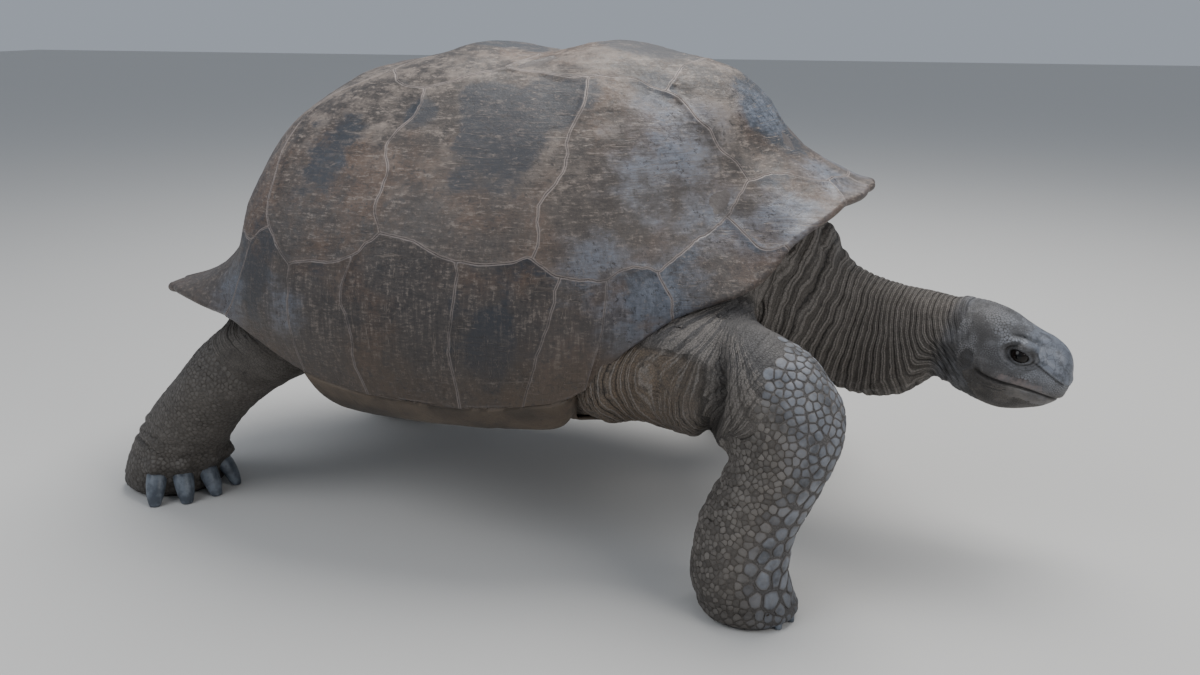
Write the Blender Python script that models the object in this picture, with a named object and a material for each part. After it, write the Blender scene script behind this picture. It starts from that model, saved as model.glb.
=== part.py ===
"""A giant tortoise of the Aldabra kind: a still, life-size museum figure of an old male at mid-stride.

+X is forwards, +Y the animal's left and +Z up, in metres. The shell is a bone bowl with a bone plate
below it, the flesh fills the bowl and shows at its two openings, and the neck, legs and tail grow out of
that flesh. The shell and the trunk are surfaces in two numbers: the turn round the middle and the way down
from the top to the rim. The neck, head, legs, claws and tail are rings of changing size along a smooth path.
"""

import bmesh
import bpy
import numpy as np

# The shell, measured from the middle of its outline. Its wall is bone and horn together.
FRONT_LENGTH = 0.55
REAR_LENGTH = 0.535
HALF_WIDTH = 0.362
TOP = 0.680
TOP_FORWARD = 0.085
SHELL_WALL = 0.013
BELLY = 0.168
BELLY_WALL = 0.016
TURNS = 48
LEG_SIDES = 18
GAP = 0.0005
SLACK = 0.007

# How far the middle of the figure's outline is ahead of the middle of the shell.
MIDDLE_AHEAD = 0.127

# Height of the rim against the turn from the front, in degrees: high over the neck, low at the bridge.
RIM = (
    (0, 0.500), (20, 0.484), (31, 0.452), (38, 0.405), (50, 0.366), (60, 0.314), (67, 0.255), (75, 0.236),
    (95, 0.236), (104, 0.258), (113, 0.294), (130, 0.334), (155, 0.321), (168, 0.312), (180, 0.304),
)
# The shell's section on its way down, seen from the side, the front and the back:
# (way down, out from the middle, up from the rim).
FLANK = (
    (0, 0, 1), (0.15, 0.25, 0.985), (0.32, 0.50, 0.915), (0.5, 0.75, 0.745),
    (0.65, 0.91, 0.545), (0.78, 0.985, 0.355), (0.9, 0.995, 0.15), (1, 0.945, 0),
)
FRONT = (
    (0, 0, 1), (0.2, 0.30, 1.0), (0.4, 0.475, 0.92), (0.6, 0.665, 0.62),
    (0.75, 0.77, 0.29), (0.87, 0.925, 0.06), (1, 1, 0),
)
REAR = (
    (0, 0, 1), (0.18, 0.221, 0.988), (0.36, 0.392, 0.93), (0.55, 0.648, 0.697),
    (0.7, 0.772, 0.373), (0.82, 0.805, 0.17), (0.91, 0.895, 0.056), (1, 1, 0),
)
# The middle row of shields is a row of low humps, one to each shield.
HUMP = 0.007
HUMP_LENGTH = 0.185
HUMP_WIDTH = 0.13
FIRST_HUMP = 0.175

# The belly plate's free edge where the bridge doesn't hold it: (turn in degrees, reach from the middle).
LOBE = (
    (0, 0.405), (18, 0.400), (34, 0.372), (48, 0.330), (60, 0.32), (90, 0.32),
    (106, 0.29), (122, 0.262), (138, 0.285), (158, 0.36), (180, 0.355),
)
LOBE_NARROWED = 0.78
# The flesh under the front rim is held back from it by this share. Behind each fore leg it hangs in a slack pouch:
# its wall comes straight down before it goes in, the more the higher this power.
FRONT_HELD_BACK = 0.15
POUCH = 3.0

# Each ring of a limb: (way along, x, y, z, half across the ring fore and aft, half across it sideways,
# lean of its fore-and-aft axis from level in degrees, turn of that axis to the left in degrees).
# A leg runs from its flat sole to its root in the flesh. The animal is in mid-stride: the right fore leg
# reaches forwards and the right hind leg trails, and on the left it is the other way about.
RIGHT_FORE_LEG = (
    (0, 0.457, -0.333, 0, 0.052, 0.052, 0, 0),
    (0.04, 0.456, -0.333, 0.008, 0.060, 0.060, 0, 0),
    (0.16, 0.442, -0.334, 0.052, 0.063, 0.062, 2, 0),
    (0.32, 0.445, -0.335, 0.105, 0.067, 0.060, 5, 0),
    (0.48, 0.470, -0.333, 0.162, 0.071, 0.062, 10, 0),
    (0.62, 0.490, -0.327, 0.214, 0.077, 0.066, 20, -2),
    (0.74, 0.485, -0.316, 0.256, 0.087, 0.070, 42, -6),
    (0.85, 0.452, -0.298, 0.278, 0.091, 0.072, 62, -12),
    (0.93, 0.405, -0.268, 0.276, 0.086, 0.080, 78, -20),
    (1, 0.335, -0.225, 0.270, 0.082, 0.086, 88, -26),
)
LEFT_FORE_LEG = (
    (0, 0.322, 0.331, 0, 0.052, 0.052, 0, 0),
    (0.04, 0.321, 0.331, 0.008, 0.060, 0.060, 0, 0),
    (0.16, 0.312, 0.332, 0.052, 0.063, 0.062, 0, 0),
    (0.32, 0.318, 0.332, 0.105, 0.067, 0.060, 3, 0),
    (0.48, 0.345, 0.329, 0.158, 0.071, 0.062, 14, 0),
    (0.62, 0.372, 0.321, 0.203, 0.077, 0.066, 26, 4),
    (0.74, 0.385, 0.307, 0.238, 0.085, 0.070, 46, 10),
    (0.85, 0.378, 0.286, 0.256, 0.088, 0.073, 62, 16),
    (0.93, 0.352, 0.258, 0.262, 0.084, 0.080, 76, 22),
    (1, 0.300, 0.222, 0.264, 0.080, 0.086, 86, 26),
)
RIGHT_HIND_LEG = (
    (0, -0.498, -0.204, 0, 0.064, 0.066, 0, 0),
    (0.04, -0.497, -0.204, 0.010, 0.074, 0.075, 0, 0),
    (0.2, -0.482, -0.213, 0.055, 0.076, 0.075, 0, 0),
    (0.36, -0.449, -0.227, 0.103, 0.070, 0.070, -10, 0),
    (0.5, -0.409, -0.237, 0.147, 0.064, 0.066, -25, 0),
    (0.65, -0.370, -0.240, 0.188, 0.062, 0.066, -38, 0),
    (0.8, -0.325, -0.233, 0.230, 0.066, 0.070, -42, 0),
    (1, -0.250, -0.200, 0.275, 0.070, 0.078, -45, 0),
)
LEFT_HIND_LEG = (
    (0, -0.298, 0.234, 0, 0.064, 0.066, 0, 0),
    (0.04, -0.297, 0.234, 0.010, 0.074, 0.075, 0, 0),
    (0.2, -0.291, 0.234, 0.055, 0.076, 0.075, 0, 0),
    (0.4, -0.285, 0.233, 0.105, 0.071, 0.070, -3, 0),
    (0.6, -0.283, 0.229, 0.155, 0.069, 0.068, -6, 0),
    (0.8, -0.286, 0.218, 0.208, 0.074, 0.072, -8, 0),
    (1, -0.288, 0.196, 0.262, 0.080, 0.080, -10, 0),
)
# The neck's last ring, at the nape, is worked out from the head.
NECK = (
    (0, 0.360, 0.000, 0.350, 0.150, 0.150, 78, 0),
    (0.13, 0.423, 0.000, 0.335, 0.142, 0.158, 74, 0),
    (0.24, 0.457, 0.000, 0.318, 0.120, 0.136, 72, 0),
    (0.34, 0.488, -0.002, 0.304, 0.096, 0.106, 70, -1),
    (0.46, 0.530, -0.006, 0.290, 0.087, 0.082, 74, -2),
    (0.65, 0.585, -0.017, 0.279, 0.087, 0.068, 82, -7),
    (0.82, 0.632, -0.032, 0.288, 0.075, 0.060, 82, -11),
)
TAIL = (
    (0, -0.420, 0.030, 0.244, 0.036, 0.042, -70, 0),
    (0.35, -0.470, 0.036, 0.236, 0.031, 0.036, -60, -10),
    (0.7, -0.502, 0.060, 0.226, 0.021, 0.024, -60, -40),
    (1, -0.507, 0.096, 0.221, 0.009, 0.010, -60, -70),
)
# The head, in its own frame: the nape is at the middle, +X runs to the snout.
NAPE = (0.6680, -0.0450, 0.2995)
HEAD_DOWN = 14
HEAD_RIGHT = 12
# (way along, top, bottom, half width)
HEAD = (
    (0.000, 0.0625, -0.0590, 0.0540), (0.022, 0.0650, -0.0605, 0.0565), (0.045, 0.0660, -0.0640, 0.0580),
    (0.068, 0.0635, -0.0672, 0.0545), (0.088, 0.0580, -0.0675, 0.0490), (0.106, 0.0540, -0.0630, 0.0430),
    (0.124, 0.0515, -0.0550, 0.0360), (0.140, 0.0460, -0.0455, 0.0305), (0.152, 0.0370, -0.0350, 0.0245),
    (0.160, 0.0230, -0.0235, 0.0170), (0.164, 0.0080, -0.0130, 0.0075),
)
# The line of the mouth from its corner to the front: (way along, height).
MOUTH = ((0.058, -0.0150), (0.085, -0.0185), (0.113, -0.0190), (0.135, -0.0205), (0.200, -0.0330))
JAW_HINGE_BELOW = (0.078, -0.120)
EYE_AT = (0.0965, 0.0345, 0.0225)
EYE_RADIUS = 0.0135
MID_LINE = -0.004
HEAD_BOXY = 0.86

# The claws fan out from the middle of each foot. On each right foot: (how many, bearing of the fan's middle
# from straight ahead to the left, spread between neighbours, base's reach, base's height, droop, size).
# Angles are in degrees, and the left feet have the same fan the other way round.
CLAW_OFF_FLOOR = 0.001
CLAW_LENGTH = 0.072
CLAW_RADIUS = 0.0155
FORE_CLAWS = (5, 14, 27, 0.038, 0.030, 63, 0.55)
HIND_CLAWS = (4, -31, 27, 0.070, 0.053, 66, 1.0)

SHELL_HORN = ((0.155, 0.128, 0.108), 0.62)
BELLY_HORN = ((0.215, 0.172, 0.130), 0.60)
SKIN = ((0.120, 0.105, 0.092), 0.78)
CLAW_HORN = ((0.105, 0.118, 0.130), 0.42)
EYE_DARK = ((0.014, 0.010, 0.008), 0.08)


def smoothstep(value, low, high):
    """0 below low, 1 above high, and an eased rise between them."""
    share = np.clip((value - low) / (high - low), 0, 1)
    return share * share * (3 - 2 * share)


def through(rows, at):
    """The smooth curve through rows of (key, values...), read at the given keys: cubics end to end."""
    rows = np.array(rows, float)
    keys, values = rows[:, 0], rows[:, 1:]
    at = np.clip(np.asarray(at, float), keys[0], keys[-1])
    step = np.diff(keys)[:, None]
    slope = np.diff(values, axis=0) / step
    inner = (slope[:-1] * step[1:] + slope[1:] * step[:-1]) / (step[:-1] + step[1:])
    tangent = np.vstack([slope[:1], inner, slope[-1:]])
    i = np.clip(np.searchsorted(keys, at, side="right") - 1, 0, len(step) - 1)
    f = ((at - keys[i]) / step[i, 0])[..., None]
    return (
        (2 * f**3 - 3 * f**2 + 1) * values[i]
        + (f**3 - 2 * f**2 + f) * step[i] * tangent[i]
        + (3 * f**2 - 2 * f**3) * values[i + 1]
        + (f**3 - f**2) * step[i] * tangent[i + 1]
    )


def shell(turn, down):
    """A point of the shell's outer face: the section's out and up, times the reach and height at that turn."""
    turn, down = np.broadcast_arrays(np.asarray(turn, float), np.asarray(down, float))
    c, s = np.cos(turn), np.sin(turn)
    fore, aft = smoothstep(c, 0.2, 0.9)[..., None], smoothstep(-c, 0.2, 0.85)[..., None]
    section = through(FLANK, down) * (1 - fore - aft)
    section = section + through(FRONT, down) * fore + through(REAR, down) * aft
    out, up = section[..., 0], section[..., 1]
    rim = through(RIM, np.degrees(np.arccos(np.clip(c, -1, 1))))[..., 0]
    length = np.where(c > 0, FRONT_LENGTH, REAR_LENGTH)
    x = TOP_FORWARD * (1 - out) + length * np.sign(c) * np.abs(c) ** np.where(c > 0, 0.93, 0.75) * out
    y = HALF_WIDTH * (1 - 0.04 * c) * np.sign(s) * np.abs(s) ** 0.93 * out
    hump = HUMP * np.cos(2 * np.pi * (x - FIRST_HUMP) / HUMP_LENGTH) * np.exp(-((y / HUMP_WIDTH) ** 2))
    z = rim + (TOP - rim) * up + hump * smoothstep(1 - down, 0.3, 0.6)
    return np.stack([x, y, z], -1)


def inner_shell(turn, down, depth):
    """The shell's face moved in by depth along its normal, which is worked out from two small steps."""
    turn, down = np.broadcast_arrays(np.asarray(turn, float), np.asarray(down, float))
    step = 0.004
    low, high = np.clip(down - step, 0.02, 1), np.clip(down + step, 0, 1)
    along = shell(turn, high) - shell(turn, low)
    round_it = shell(turn + step, down) - shell(turn - step, down)
    inward = np.cross(round_it, along)
    inward = inward / np.linalg.norm(inward, axis=-1, keepdims=True)
    return shell(turn, down) + inward * depth


def belly_edge(turn):
    """The belly plate's edge: on the shell's rim along the bridge, and a free lobe before and behind it."""
    degrees = np.degrees(np.arccos(np.clip(np.cos(turn), -1, 1)))
    bridge = smoothstep(degrees, 54, 70) * (1 - smoothstep(degrees, 54, 66))
    rim = shell(turn, 1)
    reach = through(LOBE, degrees)[..., 0]
    free = np.stack(
        [reach * np.cos(turn), LOBE_NARROWED * reach * np.sin(turn), BELLY + 0.012 + 0 * turn], -1
    )
    on_rim = rim - [0, 0, GAP]
    return free + (on_rim - free) * bridge[..., None], bridge


def belly(turn, out, lift):
    """The belly plate's lower face, flat in the middle and turned up at its edge; lift gives a face above."""
    edge, bridge = belly_edge(turn)
    rise = np.maximum(edge[..., 2] - BELLY - lift, 0) * out**8
    point = edge * np.stack([out, out, 0 * out], -1)
    point[..., 2] = BELLY + lift + rise
    return point


def solid(name, points, faces, finish, holder=None):
    """A named object held by the figure's middle or by the head's frame, with its own material."""
    mesh = bpy.data.meshes.new(name)
    mesh.from_pydata(points, [], faces)
    shape = bmesh.new()
    shape.from_mesh(mesh)
    bmesh.ops.recalc_face_normals(shape, faces=shape.faces)
    shape.to_mesh(mesh)
    shape.free()
    mesh.shade_smooth()
    mesh.set_sharp_from_angle(angle=0.9)
    thing = bpy.data.objects.new(name, mesh)
    bpy.context.collection.objects.link(thing)
    thing.parent = holder or middle
    colour, roughness = finish
    material = bpy.data.materials.new(name)
    material.use_nodes = True
    shader = material.node_tree.nodes["Principled BSDF"]
    shader.inputs["Base Color"].default_value = (*colour, 1)
    shader.inputs["Roughness"].default_value = roughness
    shader.inputs["Metallic"].default_value = 0
    mesh.materials.append(material)
    return thing


def ring_solid(name, rings, finish, holder=None):
    """A closed body of triangles from rings of points, each joined to the next, with a fan at each end."""
    count, sides, _ = rings.shape
    points = np.vstack([rings.reshape(-1, 3), rings[0].mean(0), rings[-1].mean(0)])
    ring, side = np.meshgrid(np.arange(count - 1), np.arange(sides), indexing="ij")
    after = (side + 1) % sides
    a, b = ring * sides + side, ring * sides + after
    c, d = b + sides, a + sides
    walls = np.stack([a, b, c, a, c, d], -1).reshape(-1, 3).tolist()
    first, last = count * sides, count * sides + 1
    start = [(first, (i + 1) % sides, i) for i in range(sides)]
    top = (count - 1) * sides
    end = [(last, top + i, top + (i + 1) % sides) for i in range(sides)]
    return solid(name, points.tolist(), walls + start + end, finish, holder)


def limb_rings(rows, steps, sides):
    """Rings along a limb: centre plus half sizes times the ring's two axes, read from the rows' curves."""
    at = through(rows, steps)[:, None, :]
    x, y, z, fore, across, lean, turned = np.moveaxis(at, -1, 0)
    lean, turned = np.radians(lean), np.radians(turned)
    angle = np.linspace(0, 2 * np.pi, sides, endpoint=False)[None, :]
    forward, side = fore * np.cos(angle), across * np.sin(angle)
    return np.stack(
        [
            x + forward * np.cos(lean) * np.cos(turned) - side * np.sin(turned),
            y + forward * np.cos(lean) * np.sin(turned) + side * np.cos(turned),
            z + forward * np.sin(lean),
        ],
        -1,
    )


def cutter(thing):
    """Marks a helper that only cuts other bodies."""
    thing.hide_render = True
    thing.display_type = "WIRE"
    return thing


def boolean(thing, other, operation="DIFFERENCE"):
    """Cuts a body with another one, or keeps what they share."""
    cut = thing.modifiers.new(operation.title(), "BOOLEAN")
    cut.operation = operation
    cut.object = other
    cut.solver = "EXACT"


def carapace():
    """The domed upper shell: down its outer face, round the rim and up the inner face."""
    turn = np.linspace(0, 2 * np.pi, TURNS, endpoint=False)
    outer = np.array([0.06, 0.16, 0.27, 0.38, 0.49, 0.59, 0.68, 0.76, 0.83, 0.885, 0.93, 0.965, 1])
    inner = np.array([0.985, 0.94, 0.88, 0.78, 0.66, 0.5, 0.34, 0.17])
    rings = [shell(turn, down) for down in outer] + [inner_shell(turn, down, SHELL_WALL) for down in inner]
    return ring_solid("carapace", np.array(rings), SHELL_HORN)


def trunk_rings(spare):
    """The flesh in the shell: out under its roof to the openings, down their walls and in over the belly
    plate. It is held back under the front rim and bulges in a pouch behind each fore leg. Spare makes it that
    much larger on every side."""
    turn = np.linspace(0, 2 * np.pi, TURNS, endpoint=False)
    degrees = np.degrees(np.arccos(np.clip(np.cos(turn), -1, 1)))
    held_back = 1 - FRONT_HELD_BACK * (1 - smoothstep(degrees, 54, 66))
    ceiling = np.array([0.17, 0.34, 0.5, 0.66, 0.78, 0.88, 0.94])
    rings = [inner_shell(turn, down * held_back, SHELL_WALL + SLACK - spare) for down in ceiling]
    wall, floor_edge = rings[-1], belly(turn, np.full(TURNS, 0.90), BELLY_WALL + 1.5 * SLACK - spare)
    opening = 1 - belly_edge(turn)[1]
    upright = 1 + POUCH * smoothstep(degrees, 34, 50) * (1 - smoothstep(degrees, 54, 66))
    for share in (0.2, 0.4, 0.6, 0.8, 0.92, 1):
        swell = 1 + (0.04 * opening - 0.02) * np.sin(np.pi * share) + 3 * spare
        inwards = share**upright
        ring = wall + (floor_edge - wall) * np.stack([inwards, inwards, share + 0 * turn], -1)
        rings.append(ring * np.stack([swell, swell, 1 + 0 * swell], -1))
    for out in (0.6, 0.25):
        rings.append(belly(turn, np.full(TURNS, out), BELLY_WALL + 1.5 * SLACK - spare))
    return np.array(rings)


def plastron():
    """The belly plate: in over its lower face, and out over its upper face."""
    turn = np.linspace(0, 2 * np.pi, TURNS, endpoint=False)
    lower = [belly(turn, np.full(TURNS, out), 0) for out in (0.3, 0.6, 0.78, 0.9, 1)]
    upper = [belly(turn, np.full(TURNS, out), BELLY_WALL) for out in (0.95, 0.8, 0.55, 0.25)]
    return ring_solid("plastron", np.array(lower + upper), BELLY_HORN)


def limb(name, rows, steps, sides, finish=SKIN):
    return ring_solid(name, limb_rings(rows, np.array(steps), sides), finish)


def leg(name, rows, steps):
    """A leg, cut off where it goes into the flesh."""
    made = limb(name, rows, steps, LEG_SIDES)
    boolean(made, flesh_room)
    return made


def claw(name, foot, bearing, reach, height, droop, size):
    """A blunt horn claw on a foot's edge: rings that shrink along a path which steepens to the ground."""
    along = np.linspace(0, 1, 5)
    radius = CLAW_RADIUS * size * np.array([0.85, 1.0, 0.93, 0.70, 0.24])
    angle = np.radians(droop) * (0.7 + 0.45 * along)
    step = CLAW_LENGTH * size / (len(along) - 1)
    out = reach + np.concatenate([[0], np.cumsum(step * np.cos(angle[1:]))])
    up = height - np.concatenate([[0], np.cumsum(step * np.sin(angle[1:]))])
    round_it = np.linspace(0, 2 * np.pi, 8, endpoint=False)[None, :]
    wide, high = radius[:, None] * np.cos(round_it), 0.8 * radius[:, None] * np.sin(round_it)
    ahead = out[:, None] + high * np.sin(angle)[:, None]
    b = np.radians(bearing)
    rings = [
        foot[0] + ahead * np.cos(b) - wide * np.sin(b),
        foot[1] + ahead * np.sin(b) + wide * np.cos(b),
        np.maximum(up[:, None] + high * np.cos(angle)[:, None], CLAW_OFF_FLOOR),
    ]
    return ring_solid(name, np.stack(rings, -1), CLAW_HORN)


def foot_with_claws(name, rows, steps, claws, side):
    """A leg with its claws, each cut to the foot that it grows from."""
    leg(name, rows, steps)
    grown = np.array(rows, float)
    grown[:, [4, 5]] += GAP
    foot_room = cutter(limb(name + "_room", grown, steps, LEG_SIDES))
    count, middle_bearing, spread, *shape = claws
    end, limb_side = name.split("_")[0], name.split("_")[-1]
    for number in range(count):
        bearing = side * (middle_bearing + spread * (number - (count - 1) / 2))
        made = claw(f"claw_{end}_{limb_side}_{number + 1}", rows[0][1:3], bearing, *shape)
        boolean(made, foot_room)


def head_rings():
    """The head along its own axis: a rounded box that narrows to the beak between a top and a bottom line."""
    at, top, bottom, half = np.array(HEAD).T[:, :, None]
    angle = np.linspace(0, 2 * np.pi, 24, endpoint=False)[None, :]
    c, s = np.cos(angle), np.sin(angle)
    side, height = np.sign(c) * np.abs(c) ** HEAD_BOXY, np.sign(s) * np.abs(s) ** HEAD_BOXY
    up = MID_LINE + height * np.where(height > 0, top - MID_LINE, MID_LINE - bottom)
    return np.stack([at + 0 * up, half * side, up], -1)


def mouth_block(name, raised):
    """A block across the head under the line of the mouth: all of the head inside it is the lower jaw."""
    line = np.array(MOUTH) + [-raised, raised]
    back, bottom = JAW_HINGE_BELOW
    outline = np.vstack([line, [line[-1, 0], bottom], [back - raised, bottom]])
    rings = [np.insert(outline, 1, side, axis=1) for side in (-0.1, 0.1)]
    return cutter(ring_solid(name, np.array(rings), SKIN, head_frame))


def ball(name, centre, radius, finish):
    """A round eyeball."""
    shape = bmesh.new()
    bmesh.ops.create_icosphere(shape, subdivisions=2, radius=radius)
    bmesh.ops.translate(shape, verts=shape.verts, vec=centre)
    points = [v.co[:] for v in shape.verts]
    faces = [[v.index for v in f.verts] for f in shape.faces]
    shape.free()
    return solid(name, points, faces, finish, head_frame)


for old in list(bpy.data.objects):
    bpy.data.objects.remove(old)
middle = bpy.data.objects.new("middle_of_figure", None)
middle.location = (-MIDDLE_AHEAD, 0, 0)
bpy.context.collection.objects.link(middle)

carapace()
plastron()
trunk = ring_solid("trunk", trunk_rings(0), SKIN)
flesh_room = cutter(ring_solid("flesh_room", trunk_rings(GAP), SKIN))

FORE_STEPS = (0, 0.04, 0.1, 0.2, 0.32, 0.44, 0.54, 0.62, 0.7, 0.77, 0.84, 0.9, 0.95, 1)
HIND_STEPS = (0, 0.04, 0.12, 0.22, 0.34, 0.46, 0.58, 0.7, 0.82, 0.92, 1)
foot_with_claws("front_leg_right", RIGHT_FORE_LEG, FORE_STEPS, FORE_CLAWS, 1)
foot_with_claws("front_leg_left", LEFT_FORE_LEG, FORE_STEPS, FORE_CLAWS, -1)
foot_with_claws("hind_leg_right", RIGHT_HIND_LEG, HIND_STEPS, HIND_CLAWS, 1)
foot_with_claws("hind_leg_left", LEFT_HIND_LEG, HIND_STEPS, HIND_CLAWS, -1)
leg("tail", TAIL, np.linspace(0, 1, 8))

# The head turns a little to the animal's right and looks slightly down.
head_frame = bpy.data.objects.new("head_frame", None)
head_frame.location = NAPE
head_frame.rotation_euler = (0, np.radians(HEAD_DOWN), np.radians(-HEAD_RIGHT))
head_frame.parent = middle
bpy.context.collection.objects.link(head_frame)

down, right = np.radians(HEAD_DOWN), np.radians(HEAD_RIGHT)
ahead = np.array([np.cos(down) * np.cos(right), -np.cos(down) * np.sin(right), -np.sin(down)])
nape_ring = (*(NAPE - GAP * ahead), -HEAD[0][2], HEAD[0][3], 90 - HEAD_DOWN, -HEAD_RIGHT)
leg("neck", (*NECK, (1, *nape_ring)), np.linspace(0, 1, 12))

head = ring_solid("head", head_rings(), SKIN, head_frame)
boolean(head, mouth_block("mouth_room", GAP))
jaw = ring_solid("lower_jaw", head_rings(), SKIN, head_frame)
boolean(jaw, mouth_block("jaw_block", 0), "INTERSECT")
for side, sign in (("left", 1), ("right", -1)):
    centre = (EYE_AT[0], sign * EYE_AT[1], EYE_AT[2])
    ball(f"eye_{side}", centre, EYE_RADIUS, EYE_DARK)
    boolean(head, cutter(ball(f"socket_{side}", centre, EYE_RADIUS + GAP, SKIN)))
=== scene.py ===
"""A giant tortoise of the Aldabra kind at mid-stride, finished as a museum would show it.

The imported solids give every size. Each visible surface here is worked out again, finer, from the same shapes:
horn plates over the shell, one skin over all the flesh with scales on it, claws, beak and eyes.
"""

import bpy
import numpy as np
from mathutils.kdtree import KDTree
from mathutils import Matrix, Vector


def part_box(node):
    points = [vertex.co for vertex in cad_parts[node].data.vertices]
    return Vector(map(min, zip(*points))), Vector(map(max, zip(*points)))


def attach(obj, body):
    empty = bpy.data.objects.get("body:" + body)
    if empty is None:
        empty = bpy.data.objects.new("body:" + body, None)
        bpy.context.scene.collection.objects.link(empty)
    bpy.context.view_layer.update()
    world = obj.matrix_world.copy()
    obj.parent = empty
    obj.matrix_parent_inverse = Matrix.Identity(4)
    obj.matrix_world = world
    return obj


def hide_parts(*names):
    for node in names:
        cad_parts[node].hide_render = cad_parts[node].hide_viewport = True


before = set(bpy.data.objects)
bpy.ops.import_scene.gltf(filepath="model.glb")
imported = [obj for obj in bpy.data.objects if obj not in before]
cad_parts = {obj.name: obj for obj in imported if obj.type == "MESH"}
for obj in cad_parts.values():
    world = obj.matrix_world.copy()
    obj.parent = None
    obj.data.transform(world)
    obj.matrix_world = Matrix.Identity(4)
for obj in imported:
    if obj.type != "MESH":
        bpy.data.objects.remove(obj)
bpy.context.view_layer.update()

# ---- The stand: a plain pale studio floor, soft light and a camera at a person's eye level ----
# The floor is one large sheet, and a tall soft light stands over and behind the animal, as the open sky does
# over a clearing. Two weaker ones fill its near side and its front.
FLOOR_SIZE = 30
FLOOR_PALE = (0.60, 0.59, 0.57)
CAMERA_AT = (0.5597, -1.6506, 0.735)
CAMERA_DOWN = 15.9
CAMERA_LEFT = 18.0
CAMERA_LENS = 35.0

half = FLOOR_SIZE / 2
floor_mesh = bpy.data.meshes.new("floor")
floor_mesh.from_pydata(
    [(-half, -half, 0), (half, -half, 0), (half, half, 0), (-half, half, 0)], [], [(0, 1, 2, 3)],
)
floor = bpy.data.objects.new("floor", floor_mesh)
bpy.context.collection.objects.link(floor)
floor_paint = bpy.data.materials.new("floor_paint")
floor_paint.use_nodes = True
floor_shader = floor_paint.node_tree.nodes["Principled BSDF"]
floor_shader.inputs["Base Color"].default_value = (*FLOOR_PALE, 1)
floor_shader.inputs["Roughness"].default_value = 0.9
floor_mesh.materials.append(floor_paint)

# Each light: (place, size across, power in watts, colour). All of them face the middle of the animal.
LIGHTS = (
    ((0.3, 0.9, 3.0), 2.6, 95, (1.0, 0.985, 0.96)),
    ((-1.6, -2.2, 2.3), 2.2, 34, (0.93, 0.96, 1.0)),
    ((2.6, -1.4, 1.6), 1.6, 26, (1.0, 0.98, 0.95)),
)
for number, (place, across, power, colour) in enumerate(LIGHTS):
    lamp = bpy.data.lights.new(f"soft_light_{number + 1}", "AREA")
    lamp.shape, lamp.size, lamp.energy, lamp.color = "DISK", across, power, colour
    stand = bpy.data.objects.new(lamp.name, lamp)
    stand.location = place
    aim = np.array([0, 0, 0.35]) - place
    reach = np.linalg.norm(aim)
    stand.rotation_euler = (np.arccos(-aim[2] / reach), 0, np.arctan2(-aim[0], aim[1]))
    bpy.context.collection.objects.link(stand)
world = bpy.data.worlds.new("studio")
world.use_nodes = True
world.node_tree.nodes["Background"].inputs["Color"].default_value = (0.80, 0.88, 1.0, 1)
world.node_tree.nodes["Background"].inputs["Strength"].default_value = 0.42
bpy.context.scene.world = world

camera = bpy.data.objects.new("camera", bpy.data.cameras.new("camera"))
camera.data.lens = CAMERA_LENS
camera.location = CAMERA_AT
camera.rotation_euler = (np.radians(90 - CAMERA_DOWN), 0, np.radians(CAMERA_LEFT))
bpy.context.collection.objects.link(camera)
bpy.context.scene.camera = camera

# ---- The upper shell: horn plates on a bone bowl ----
# The real shell is a bowl of bone under plates of horn: five down the middle, four on each side and a ring of
# small ones round the rim. Each plate grows outwards from a small old patch, and thin pale seams part them.

# The shell's face is a function of the turn round its middle and the way down from its top to its rim. Rows
# are (turn in degrees, rim height), and in each section (way down, share of reach, share of height).
FRONT_LENGTH = 0.55
REAR_LENGTH = 0.535
HALF_WIDTH = 0.362
TOP = 0.680
TOP_FORWARD = 0.085
SHELL_WALL = 0.013
RIM = (
    (0, 0.500), (20, 0.484), (31, 0.452), (38, 0.405), (50, 0.366), (60, 0.314), (67, 0.255), (75, 0.236),
    (95, 0.236), (104, 0.258), (113, 0.294), (130, 0.334), (155, 0.321), (168, 0.312), (180, 0.304),
)
FLANK = (
    (0, 0, 1), (0.15, 0.25, 0.985), (0.32, 0.50, 0.915), (0.5, 0.75, 0.745),
    (0.65, 0.91, 0.545), (0.78, 0.985, 0.355), (0.9, 0.995, 0.15), (1, 0.945, 0),
)
FRONT = (
    (0, 0, 1), (0.2, 0.30, 1.0), (0.4, 0.475, 0.92), (0.6, 0.665, 0.62),
    (0.75, 0.77, 0.29), (0.87, 0.925, 0.06), (1, 1, 0),
)
REAR = (
    (0, 0, 1), (0.18, 0.221, 0.988), (0.36, 0.392, 0.93), (0.55, 0.648, 0.697),
    (0.7, 0.772, 0.373), (0.82, 0.805, 0.17), (0.91, 0.895, 0.056), (1, 1, 0),
)
HUMP, HUMP_LENGTH, HUMP_WIDTH, FIRST_HUMP = 0.007, 0.185, 0.13, 0.175
SHELL_MIDDLE = np.array([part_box("carapace")[1].x - FRONT_LENGTH, 0, 0])


def smoothstep(value, low, high):
    """0 below low, 1 above high, and an eased rise between them."""
    share = np.clip((value - low) / (high - low), 0, 1)
    return share * share * (3 - 2 * share)


def fade(value, low, high):
    """1 below low, 0 above high."""
    return 1 - smoothstep(value, low, high)


def bell(value, width):
    """1 at nought, falling to either side: exp(-(value / width) squared)."""
    return np.exp(-((value / width) ** 2))


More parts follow.
